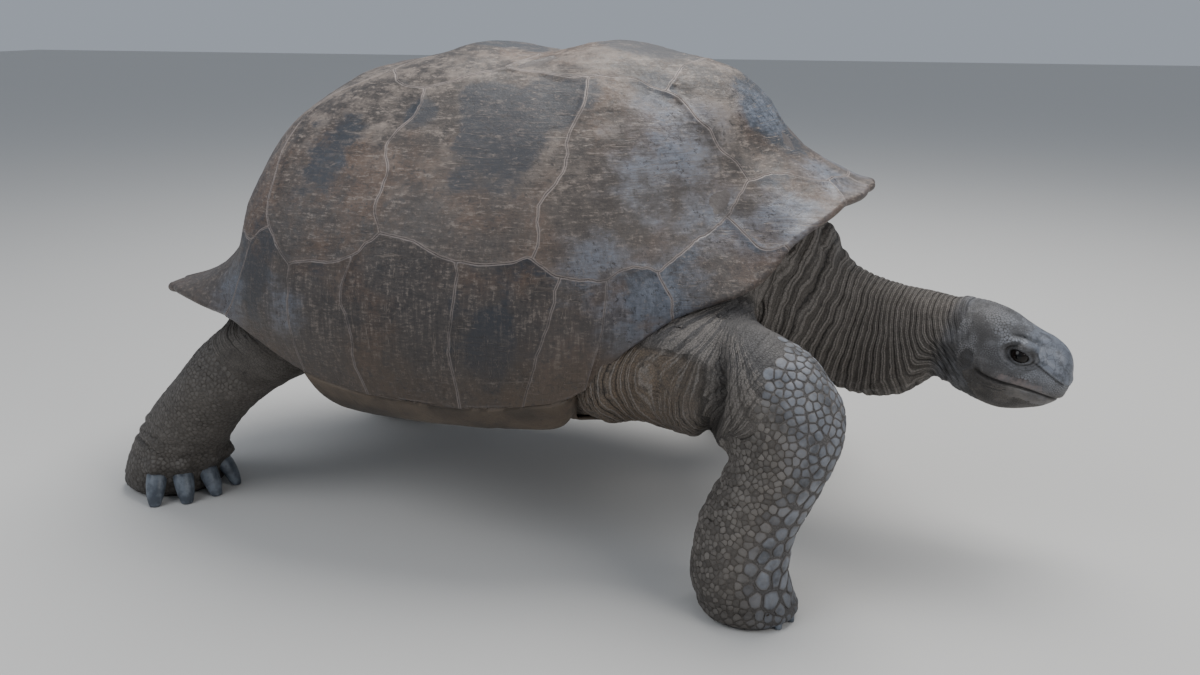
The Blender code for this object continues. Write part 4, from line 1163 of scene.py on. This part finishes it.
# Dry hide: painted shade in every groove and dusty pale along every crest, with small cracks and
# granules all over. The height of each set of folds is worked out again here from how far it has run,
# so that it stays sharp.
HIDE = (0.070, 0.060, 0.051, 1)
HIDE_DARK = (0.016, 0.013, 0.011, 1)
HIDE_PALE = (0.215, 0.192, 0.172, 1)
HIDE_BLUE = (0.105, 0.112, 0.128, 1)
HIDE_TAN = (0.155, 0.112, 0.076, 1)
CHEEK_PINK = (0.165, 0.132, 0.126, 1)
HEAD_PLATE = (0.225, 0.240, 0.272, 1)
SNOUT_HORN = (0.170, 0.188, 0.226, 1)
HEAD_SEAM = (0.045, 0.048, 0.056, 1)


def ridge(add, turns, sharp):
    """The nodes' own ridges: the size of a sine of turns, raised to a power."""
    wave = maths(add, "SINE", times(add, turns, np.pi))
    return maths(add, "POWER", maths(add, "ABSOLUTE", wave), sharp)


def crackle(add, place, scale):
    """Small cells packed together: the distance from the nearest edge of one."""
    return add("TexVoronoi", {"Vector": place, "Scale": scale, "Randomness": 1.0}, feature="DISTANCE_TO_EDGE")


def dry_hide():
    """Brown-grey hide with dusty pale crests and painted shade in its grooves, tan at the shoulder, blue-grey
    on the head and down the fore legs, and smooth cracked horn over the snout. Painted shade also darkens
    its creases, mouth, lids, ear and nostrils, and the hide near the ground."""
    material, _, add, finish = painter("dry_hide", 0.68)
    place = add("TexCoord", {}, output=3)
    height_up = add("SeparateXYZ", {"Vector": place}, output=2)
    cloud = speckle(add, place, (1, 1, 1), 22, 4.0, 0.6)
    mottle = speckle(add, place, (1, 1, 1), 85, 4.0, 0.65)
    grain = speckle(add, place, (1, 1, 1), 420, 3.0, 0.7)
    stray = times(add, minus(add, mottle, 0.5), 0.55)
    lines, weights = [], []
    for key, weight_key, finer, amount in (
        ("pleat", "pleated", 2.7, 1.0), ("curtain", "slack", 3.3, 0.8), ("fan", "fanned", 3.1, 1.0),
        ("wrinkle", "wrinkled", 2.6, 0.9), ("bag", "bagged", 2.9, 1.0),
    ):
        turns, weight = read(add, key), read(add, weight_key)
        broad = ridge(add, plus(add, turns, stray), 0.55)
        fine_turns = plus(add, times(add, turns, finer), times(add, stray, 2.2))
        fine = ridge(add, fine_turns, 0.7)
        both = plus(add, times(add, broad, 0.62), times(add, fine, 0.38))
        lines.append(times(add, both, times(add, weight, amount)))
        weights.append(times(add, weight, amount))
    folded, height = weights[0], lines[0]
    for weight, line in zip(weights[1:], lines[1:]):
        folded, height = plus(add, folded, weight), plus(add, height, line)
    folded = maths(add, "MINIMUM", folded, 1.0)
    height = plus(add, height, times(add, minus(add, 1.0, folded), 0.62))
    granule = ease(add, crackle(add, place, 270.0), 0.0, 0.22)
    colour = tint(add, HIDE, HIDE_PALE, ease(add, cloud, 0.42, 0.80, 0.0, 0.45))
    tan_share = times(add, read(add, "tan"), ease(add, mottle, 0.3, 0.7, 0.35, 0.85))
    colour = tint(add, colour, HIDE_TAN, tan_share)
    colour = tint(add, colour, HIDE_BLUE, times(add, read(add, "blue"), 0.35))
    colour = tint(add, colour, HIDE_DARK, ease(add, mottle, 0.46, 0.26, 0.0, 0.65))
    # Dusty pale along the crests of the folds, and painted shade down in their grooves.
    colour = tint(add, colour, HIDE_PALE, ease(add, height, 0.80, 1.0, 0.0, 0.62))
    colour = tint(add, colour, HIDE_DARK, ease(add, height, 0.58, 0.22, 0.0, 0.93))
    colour = tint(add, colour, HIDE_DARK, ease(add, granule, 0.55, 0.05, 0.0, 0.40))
    head_tone = tint(add, HIDE_DARK, HEAD_PLATE, ease(add, cloud, 0.30, 0.62, 0.22, 0.60))
    colour = tint(add, colour, head_tone, times(add, read(add, "on_head"), 0.55))
    blotch = times(add, read(add, "on_head"), ease(add, cloud, 0.58, 0.40, 0.0, 0.50))
    colour = tint(add, colour, HIDE_DARK, blotch)
    smooth = maths(add, "MAXIMUM", read(add, "plate"), read(add, "beak"))
    cracks = crackle(add, place, 95.0)
    cracks = plus(add, cracks, times(add, minus(add, grain, 0.5), 0.05))
    horn = tint(add, HEAD_SEAM, SNOUT_HORN, ease(add, cloud, 0.28, 0.62, 0.45, 1.0))
    horn = tint(add, horn, HEAD_SEAM, ease(add, cracks, 0.040, 0.008, 0.0, 0.60))
    horn = tint(add, horn, HEAD_SEAM, ease(add, mottle, 0.54, 0.32, 0.0, 0.75))
    colour = tint(add, colour, horn, times(add, read(add, "plate"), 0.92))
    beak_share = times(add, read(add, "beak"), ease(add, mottle, 0.30, 0.65, 0.05, 0.40))
    colour = tint(add, colour, HIDE_PALE, beak_share)
    pink_share = times(add, read(add, "pink"), ease(add, mottle, 0.36, 0.60, 0.10, 0.75))
    colour = tint(add, colour, CHEEK_PINK, pink_share)
    # Painted shade in the mouth, lids, ear, nostrils, creases and deep folds.
    colour = tint(add, colour, HIDE_DARK, times(add, read(add, "shade"), 0.93))
    # Painted shade: the hide darker near the ground.
    colour = tint(add, colour, HIDE_DARK, ease(add, height_up, 0.09, 0.0, 0.0, 0.45))
    quiet = minus(add, 1.0, times(add, maths(add, "MAXIMUM", smooth, read(add, "pink")), 0.85))
    bump = plus(add, height, times(add, granule, 0.11))
    bump = plus(add, bump, times(add, grain, 0.13))
    bump = plus(add, bump, times(add, mottle, 0.20))
    bump = times(add, bump, quiet)
    rough = ease(add, grain, 0.3, 0.7, 0.60, 0.78)
    rough = minus(add, rough, times(add, smooth, 0.28))
    finish(colour, rough, bump, 0.0032)
    return material


skin.data.materials.append(dry_hide())
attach(skin, "root")
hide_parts("trunk", "neck", "head", "lower_jaw", "tail", "front_leg_right", "front_leg_left",
            "hind_leg_right", "hind_leg_left")

# ---- The scales ----
# Horny scales lie over the hide: big domed plates down the front of each fore leg, smaller ones in rows
# round its back, small flat ones on the hind legs and tail, and fine granules on the head. Each scale fills
# the room between its neighbours, less a groove, and is laid on the hide and domed.

# Sizes from scale to scale, and the reach of a scale's patch on the unwrap.
FORE_TOP_SCALE, FORE_WRIST_SCALE, FORE_REAR_SCALE = 0.0108, 0.0220, 0.0070
HIND_SCALE, TAIL_SCALE = 0.0066, 0.0070
HEAD_GRANULE = 0.0026
BLADE = 0.0015

hide_points = read_points(skin.data)
hide_normals = read_normals(skin.data)
triangles = read_triangles(skin.data)
corner, second, third = hide_points[triangles].transpose(1, 0, 2)
area = np.linalg.norm(np.cross(second - corner, third - corner), axis=1) / 2

# Each hide point's place on an unwrap of the hide: every limb has a strip of its own, along it and round it.
STRIPS = {"neck": 0, "fore_right": 1, "fore_left": 2, "hind_right": 3, "hind_left": 4, "tail": 5}
unwrap = np.stack([0.04 + 0.92 * (wall_turn / (2 * np.pi) + 0.5), 0.90 + 0.2 * (points[:, 2] - 0.2)], -1)
for name, strip in STRIPS.items():
    (way, angle, _), length = on_limbs[name]
    way = neck_way if name == "neck" else way
    length = length + 0.17 if name == "neck" else length
    u = 0.02 + 0.15 * strip + 0.12 * (angle / (2 * np.pi) + 0.5)
    v = 0.03 + 0.78 * np.clip(way / length, 0, 1)
    mine = share[name] > 0.5
    unwrap[mine] = np.stack([u, v], -1)[mine]


def read_values(name):
    """A value that the hide keeps at each point."""
    return numbers(skin.data.attributes[name].data, "value", 1)[:, 0].astype(float)


def seeds(keep, size, seed):
    """Random points on the hide where keep is over a half, none nearer to another than its own size: random
    candidates, thick on the ground, each thrown out if a kept one is near."""
    draw = np.random.default_rng(seed)
    weight = area * (keep[triangles].mean(1) > 0.5) / size[triangles].mean(1) ** 2
    count = int(weight.sum() * 10)
    chosen = np.searchsorted(np.cumsum(weight) / weight.sum(), draw.uniform(0, 1, count))
    a, b = draw.uniform(0, 1, (2, count))
    turned_over = a + b > 1
    a, b = np.where(turned_over, 1 - a, a), np.where(turned_over, 1 - b, b)
    mix = np.stack([1 - a - b, a, b], -1)[..., None]

    def at(values):
        values = values.reshape(len(values), -1)
        return (values[triangles[chosen]] * mix).sum(1)

    places, sizes = at(hide_points), at(size)[:, 0]
    tree = KDTree(count)
    for number, place in enumerate(places):
        tree.insert(place, number)
    tree.balance()
    open_still = np.ones(count, bool)
    kept = []
    for number in range(count):
        if open_still[number]:
            kept.append(number)
            for _, other, _ in tree.find_range(places[number], 0.82 * sizes[number]):
                open_still[other] = False
    return kept, places[kept], at(hide_normals)[kept], sizes[kept], at(unwrap)[kept], at


def scale_coat(name, keep, size, along, sides, dome, groove, paler, seed):
    """One mesh of domed scales laid along a direction: each has so many sides, a dome and a groove in
    shares of its size, and a tone up to paler. The edge of each lies, in every direction, half way to the
    nearest neighbour across its line of sight, less half a groove. Its height is dome times its size."""
    kept, places, out, sizes, uv, at = seeds(keep, size, seed)
    count = len(kept)
    out /= np.linalg.norm(out, axis=1, keepdims=True)
    lie = at(along)[kept]
    lie -= out * (lie * out).sum(1, keepdims=True)
    lie /= np.maximum(np.linalg.norm(lie, axis=1, keepdims=True), 1e-9)
    across = np.cross(out, lie)
    tree = KDTree(count)
    for number, place in enumerate(places):
        tree.insert(place, number)
    tree.balance()
    near = np.array([[other for _, other, _ in tree.find_n(place, 13)][1:] for place in places])
    gap = places[near] - places[:, None]
    gap_x, gap_y = (gap * lie[:, None]).sum(-1), (gap * across[:, None]).sum(-1)
    length = np.hypot(gap_x, gap_y)
    draw = np.random.default_rng(seed + 1)
    turn = np.linspace(0, 2 * np.pi, sides, endpoint=False)[None] + draw.uniform(0, 6.28, (count, 1))
    facing = np.cos(turn[:, :, None] - np.arctan2(gap_y, gap_x)[:, None])
    limit = length[:, None] / 2 / np.maximum(facing, 1e-3)
    reach = np.minimum(limit.min(-1), 0.90 * sizes[:, None]) - groove * sizes[:, None] / 2
    reach = np.maximum(reach, 0.2 * sizes[:, None])
    share_out = np.array([1.0, 0.86, 0.52, 0.0])
    rise = np.array([-0.12, 0.55, 0.90, 1.0])
    ring = reach[:, None] * share_out[None, :3, None]
    along_lie = np.cos(turn)[:, None, :, None] * lie[:, None, None]
    along_across = np.sin(turn)[:, None, :, None] * across[:, None, None]
    flat_place = places[:, None, None] + ring[..., None] * (along_lie + along_across)
    block = sides * 3 + 2
    base = np.concatenate([flat_place.reshape(count, -1, 3), places[:, None], places[:, None]], axis=1)
    laid = mesh_object(name + "_laid", base.reshape(-1, 3), np.zeros((1, 3), int))
    wrap = laid.modifiers.new("lay", "SHRINKWRAP")
    wrap.target, wrap.wrap_method = skin, "NEAREST_SURFACEPOINT"
    evaluated = laid.evaluated_get(bpy.context.evaluated_depsgraph_get()).data
    base = read_points(evaluated).reshape(count, block, 3)
    bpy.data.objects.remove(laid)
    height = np.concatenate([np.repeat(rise[:3], sides), [1.0, -0.25]])
    thick = (dome * sizes * draw.uniform(0.8, 1.15, count))[:, None]
    raised = base + out[:, None] * (height[None] * thick)[..., None]
    raised[..., 2] = np.maximum(raised[..., 2], 0.0005)
    k = np.arange(sides)
    after = (k + 1) % sides
    walls = [np.stack([r * sides + k, r * sides + after, (r + 1) * sides + after], -1) for r in (0, 1)]
    walls += [np.stack([r * sides + k, (r + 1) * sides + after, (r + 1) * sides + k], -1) for r in (0, 1)]
    top = np.stack([2 * sides + k, 2 * sides + after, np.full(sides, 3 * sides)], -1)
    under = np.stack([after, k, np.full(sides, 3 * sides + 1)], -1)
    one = np.concatenate(walls + [top, under])
    faces = (one[None] + block * np.arange(count)[:, None, None]).reshape(-1, 3)
    centre_share = np.concatenate([1 - np.repeat(share_out[:3], sides), [1.0, 0.0]])
    blue = at(read_values("blue"))[kept, 0]
    shape = mesh_object(name, raised.reshape(-1, 3), faces, {
        "inner": np.tile(centre_share, count), "tone": np.repeat(paler * draw.uniform(0, 1, count), block),
        "blue": np.repeat(blue, block), "shade": np.repeat(at(read_values("shade"))[kept, 0], block),
        "on_head": np.repeat(at(read_values("on_head"))[kept, 0], block),
    })
    local = np.concatenate([
        (share_out[:3, None, None] * np.stack([np.cos(turn[0]), np.sin(turn[0])], -1)).reshape(-1, 2),
        np.zeros((2, 2)),
    ])
    patches = (uv[:, None] + BLADE * local[None]).reshape(-1, 2)
    layer = shape.data.uv_layers.new(name="OFBake")
    layer.data.foreach_set("uv", np.ascontiguousarray(patches[faces.ravel()], np.float32).ravel())
    return shape


def way_of(name):
    """The direction along a limb at every hide point, from the nearest part of its middle line."""
    middle, _, _, ahead, side = axes_of(LIMBS[name], np.linspace(0, 1, 60))
    run = np.gradient(middle, axis=0)
    run /= np.linalg.norm(run, axis=1, keepdims=True)
    (way, _, _), length = on_limbs[name]
    return run[np.clip((way / length * 59).astype(int), 0, 59)]


coats = []
for side, ahead_by in (("right", 0.0), ("left", -LEFT_BACK)):
    name = "fore_" + side
    way, angle, _ = on_limbs[name][0]
    front = np.cos(angle + (-0.2 if side == "left" else 0.2))
    wrist = fade(way, 0.10, 0.26)
    size = FORE_TOP_SCALE + (FORE_WRIST_SCALE - FORE_TOP_SCALE) * wrist
    size = FORE_REAR_SCALE + (size - FORE_REAR_SCALE) * smoothstep(front, 0.20, 0.85)
    size = size - (size - 0.0085) * fade(way, 0.012, 0.035)
    before_fold = points[:, 0] - SHELL_MIDDLE[0] - (FOLD_AT + ahead_by) + 0.004 * ripple(points, 0.05, 71)
    before_fold = np.maximum(smoothstep(before_fold, -0.006, 0.012), fade(points[:, 2], 0.19, 0.21))
    top_of_coat = 0.285 + 0.035 * front + 0.012 * ripple(points, 0.05, 73)
    keep = share[name] * (points[:, 2] > 0.006) * (way < top_of_coat) * before_fold
    coat = scale_coat("fore_scales_" + side, keep, size, way_of(name), 10, 0.080, 0.065, 1.0, 41)
    coats.append((coat, "front_leg_" + side))
for side in ("right", "left"):
    name = "hind_" + side
    way = on_limbs[name][0][0]
    size = HIND_SCALE * (1 + 0.30 * fade(way, 0.04, 0.10))
    keep = share[name] * (points[:, 2] > 0.006) * (way < 0.30)
    coat = scale_coat("hind_scales_" + side, keep, size, way_of(name), 8, 0.060, 0.13, 0.40, 43)
    coats.append((coat, "hind_leg_" + side))
keep = share["tail"] * 1.0
size = np.full(len(points), TAIL_SCALE)
coats.append((scale_coat("tail_scales", keep, size, way_of("tail"), 8, 0.10, 0.14, 0.40, 45), "tail"))
keep = in_head * smoothstep(behind_jaw, 0.004, 0.026) * (lid > 2.1) * (pink < 0.55) * (beak < 0.5)
keep = keep * (np.abs(from_mouth) > 0.0040) * (to_nostril > 0.005) * (ear > 1.15)
keep = keep * (over_brow * on_side < 0.6) * (plate < 0.55)
size = HEAD_GRANULE * (1 + 0.6 * smoothstep(h, 0.015, 0.05) * smoothstep(s, 0.03, 0.07))
lie = np.broadcast_to(HEAD_AXES[0], points.shape).copy()
coats.append((scale_coat("head_scales", keep, size, lie, 8, 0.030, 0.05, 0.30, 47), "head"))


def scale_horn():
    """Domed scales: blue-grey horn on the big plates of the fore legs and brown-grey elsewhere, paler and
    worn on top, dark brown in the grooves between, with painted shade in creases and near the ground."""
    material, _, add, finish = painter("scale_horn", 0.55)
    place = add("TexCoord", {}, output=3)
    height_up = add("SeparateXYZ", {"Vector": place}, output=2)
    inner, tone, blue = read(add, "inner"), read(add, "tone"), read(add, "blue")
    cloud = speckle(add, place, (1, 1, 1), 34, 4.0, 0.6)
    grain = speckle(add, place, (1, 1, 1), 380, 4.0, 0.7)
    colour = tint(add, (0.060, 0.052, 0.045, 1), (0.160, 0.144, 0.128, 1), tone)
    horn = tint(add, (0.098, 0.109, 0.131, 1), (0.215, 0.232, 0.268, 1), ease(add, cloud, 0.35, 0.65))
    colour = tint(add, colour, horn, times(add, blue, ease(add, inner, 0.05, 0.35, 0.25, 0.90)))
    worn_top = times(add, ease(add, inner, 0.45, 1.0, 0.0, 0.35), ease(add, grain, 0.4, 0.65))
    colour = tint(add, colour, HIDE_PALE, worn_top)
    colour = tint(add, colour, HIDE_DARK, ease(add, cloud, 0.46, 0.28, 0.0, 0.55))
    colour = tint(add, colour, HEAD_PLATE, times(add, times(add, read(add, "on_head"), blue), 0.80))
    blotch = times(add, read(add, "on_head"), ease(add, cloud, 0.58, 0.40, 0.0, 0.62))
    colour = tint(add, colour, HIDE_DARK, blotch)
    groove = tint(add, (0.060, 0.040, 0.026, 1), (0.060, 0.060, 0.064, 1), read(add, "on_head"))
    colour = tint(add, colour, groove, ease(add, inner, 0.12, 0.0, 0.0, 0.80))
    # Painted shade carried over from the hide's creases and folds.
    colour = tint(add, colour, HIDE_DARK, times(add, read(add, "shade"), 0.85))
    # Painted shade: the scales darker near the ground.
    colour = tint(add, colour, HIDE_DARK, ease(add, height_up, 0.09, 0.0, 0.0, 0.45))
    rough = ease(add, grain, 0.3, 0.7, 0.48, 0.68)
    finish(colour, rough, grain, 0.0007)
    return material


scale_paint = scale_horn()
for coat, node in coats:
    coat.data.materials.append(scale_paint)
    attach(coat, "root")
    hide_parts(node)

# ---- The eyes ----
# Each eye is a dark wet ball, a little fuller over the iris, set in its lids. Its rings run round the gaze.
EYE_RINGS, EYE_SIDES = 40, 48
CORNEA_FULLER = 0.0006

polar = np.linspace(0.03, np.pi - 0.03, EYE_RINGS)[:, None]
round_eye = np.linspace(0, 2 * np.pi, EYE_SIDES, endpoint=False)[None]
radius = EYE_RADIUS - 0.0003 + CORNEA_FULLER * bell(polar, 0.45) + 0 * round_eye
off_axis = radius * np.sin(polar)
ball = np.stack([off_axis * np.cos(round_eye), radius * np.cos(polar), off_axis * np.sin(round_eye)], -1)
eye_paint, eye_shader, add, finish = painter("wet_eye", 0.07)
gaze = read(add, "polar")
iris = tint(add, (0.002, 0.002, 0.002, 1), (0.008, 0.005, 0.004, 1), ease(add, gaze, 0.30, 0.36))
iris = tint(add, iris, (0.008, 0.006, 0.005, 1), ease(add, gaze, 0.62, 0.72))
finish(iris)
eye_shader.inputs["Specular IOR Level"].default_value = 0.22
eye_shader.inputs["Coat Weight"].default_value = 0.10
eye_shader.inputs["Coat Roughness"].default_value = 0.03
for side, node in ((1, "eye_left"), (-1, "eye_right")):
    rings = HEAD_PLACE + (np.array(EYE_AT) * [1, side, 1] + ball * [1, side, 1]) @ HEAD_AXES
    eye_points = np.vstack([rings.reshape(-1, 3), rings[0].mean(0), rings[-1].mean(0)])
    values = np.concatenate([np.repeat(polar[:, 0], EYE_SIDES), [0, np.pi]])
    faces = ring_faces(EYE_RINGS, EYE_SIDES, side < 0)
    eye = mesh_object("wet_" + node, eye_points, faces, {"polar": values})
    eye.data.materials.append(eye_paint)
    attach(eye, "root")
    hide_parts(node)

# ---- The claws ----
# Five blunt horn claws on each fore foot and four on each hind foot, worn at the tip, each a run of rings
# that shrink along a path which steepens to the ground.
CLAW_OFF_FLOOR = 0.001
CLAW_LENGTH, CLAW_RADIUS = 0.072, 0.0155
CLAW_TAPER = ((0, 0.85), (0.25, 1.0), (0.5, 0.93), (0.75, 0.70), (0.93, 0.38), (1, 0.16))


def claw(foot, bearing, reach, height, droop, size):
    """Rings of a claw: circles of its radius, flatter underneath, across a path that turns down."""
    count, sides = 26, 20
    along = np.linspace(0, 1, count)
    radius = CLAW_RADIUS * size * through(CLAW_TAPER, along)[:, 0]
    angle = np.radians(droop) * (0.7 + 0.45 * along)
    step = CLAW_LENGTH * size / (count - 1)
    out = reach + np.concatenate([[0], np.cumsum(step * np.cos(angle[1:]))])
    up = height - np.concatenate([[0], np.cumsum(step * np.sin(angle[1:]))])
    turn = np.linspace(0, 2 * np.pi, sides, endpoint=False)[None]
    flatter = np.where(np.sin(turn) < 0, 0.62, 0.82)
    wide, high = radius[:, None] * np.cos(turn), flatter * radius[:, None] * np.sin(turn)
    ahead = out[:, None] + high * np.sin(angle)[:, None]
    b = np.radians(bearing)
    ring = np.stack([
        foot[0] + ahead * np.cos(b) - wide * np.sin(b), foot[1] + ahead * np.sin(b) + wide * np.cos(b),
        np.maximum(up[:, None] + high * np.cos(angle)[:, None], CLAW_OFF_FLOOR),
    ], -1) + SHELL_MIDDLE
    points = np.vstack([ring.reshape(-1, 3), ring[0].mean(0), ring[-1].mean(0)])
    values = np.concatenate([np.repeat(along, sides), [0, 1]])
    return points, ring_faces(count, sides, False), np.stack([values, values], -1)


# The claws fan out from each foot: (how many, bearing of the fan's middle on a right foot, degrees between
# them, reach, height, droop and size of each).
FORE_CLAWS = (5, 14, 27, 0.038, 0.030, 63, 0.55)
claw_shapes, claw_nodes = [], []
for end, limb_side, rows, fan_of, sign in (
    ("front", "right", RIGHT_FORE_LEG, FORE_CLAWS, 1), ("front", "left", LEFT_FORE_LEG, FORE_CLAWS, -1),
    ("hind", "right", RIGHT_HIND_LEG, HIND_CLAWS, 1), ("hind", "left", LEFT_HIND_LEG, HIND_CLAWS, -1),
):
    many, middle_bearing, spread, *shape = fan_of
    for number in range(many):
        bearing = sign * (middle_bearing + spread * (number - (many - 1) / 2))
        claw_shapes.append(claw(rows[0][1:3], bearing, *shape))
        claw_nodes.append(f"claw_{end}_{limb_side}_{number + 1}")
claws = joined("claws", claw_shapes)
claw_paint, _, add, finish = painter("claw_horn", 0.42)
place = add("TexCoord", {}, output=3)
streak = speckle(add, place, (1, 1, 0.25), 160, 4.0, 0.6)
cloud = speckle(add, place, (1, 1, 1), 60, 3.0, 0.6)
horn = tint(add, (0.050, 0.060, 0.077, 1), (0.130, 0.150, 0.178, 1), ease(add, cloud, 0.35, 0.65))
horn = tint(add, horn, (0.016, 0.016, 0.018, 1), ease(add, streak, 0.45, 0.25, 0.0, 0.6))
horn = tint(add, horn, (0.150, 0.140, 0.130, 1), ease(add, read(add, "seam"), 0.85, 1.0, 0.0, 0.5))
finish(horn, ease(add, cloud, 0.3, 0.7, 0.34, 0.52), streak, 0.0006)
claws.data.materials.append(claw_paint)
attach(claws, "root")
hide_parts(*claw_nodes)

# ---- The belly plate ----
# Horn plates over a flat bone floor, joined to the upper shell along each side and free before and behind.
# One long seam runs down the middle and five cross it.
BELLY_SEAMS = (0.285, 0.205, 0.065, -0.110, -0.225)

turn = np.linspace(0, 2 * np.pi, 300, endpoint=False)
lower = [belly(turn, np.full(300, out), 0) for out in np.linspace(0.03, 1, 46) ** 0.8]
upper = [belly(turn, np.full(300, out), BELLY_WALL) for out in (0.995, 0.98, 0.95, 0.9, 0.8, 0.6, 0.3)]
rings = np.array(lower + upper)
at_rim = np.concatenate([np.linspace(0.03, 1, 46) ** 16, [0.8, 0.5, 0.2, 0, 0, 0, 0]])
rings[..., 2] += 0.0030 * belly_edge(turn)[1] * at_rim[:, None]
x, y = rings[..., 0] - SHELL_MIDDLE[0], rings[..., 1]
stray = 0.006 * ripple(rings, 0.12, 61) + 0.0015 * ripple(rings, 0.03, 62)
seam = np.abs(y + stray)
for number, at in enumerate(BELLY_SEAMS):
    bow = (0.22, 0.12, -0.10, -0.05, 0.25)[number]
    seam = np.minimum(seam, np.abs(x - at + bow * np.abs(y) + stray))
under = np.arange(len(rings)) < len(lower)
sink = -0.0012 * bell(seam, 0.0025) + 0.0006 * ripple(rings, 0.05, 63)
sink = sink * smoothstep(np.linspace(1.6, 0, len(rings)), 0.0, 0.2)[:, None]
rings[..., 2] -= np.where(under[:, None], sink, 0)
belly_points = np.vstack([rings.reshape(-1, 3), rings[0].mean(0), rings[-1].mean(0)])
values = np.concatenate([seam.ravel(), [0.01, 0.01]])
belly_plate = mesh_object("belly_plate", belly_points, ring_faces(*rings.shape[:2], False), {"seam": values})
belly_paint, _, add, finish = painter("belly_horn", 0.55)
place = add("TexCoord", {}, output=3)
cloud = speckle(add, place, (1, 1, 1), 9, 4.0, 0.6)
grain = speckle(add, place, (1, 1, 1), 110, 4.0, 0.7)
horn = tint(add, (0.048, 0.037, 0.028, 1), (0.125, 0.092, 0.064, 1), ease(add, cloud, 0.32, 0.68))
horn = tint(add, horn, (0.035, 0.030, 0.027, 1), ease(add, grain, 0.45, 0.28, 0.0, 0.6))
horn = tint(add, horn, (0.025, 0.020, 0.017, 1), ease(add, read(add, "seam"), 0.0022, 0.0008, 0.0, 0.85))
finish(horn, None, grain, 0.0012)
belly_plate.data.materials.append(belly_paint)
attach(belly_plate, "root")
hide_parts("plastron")
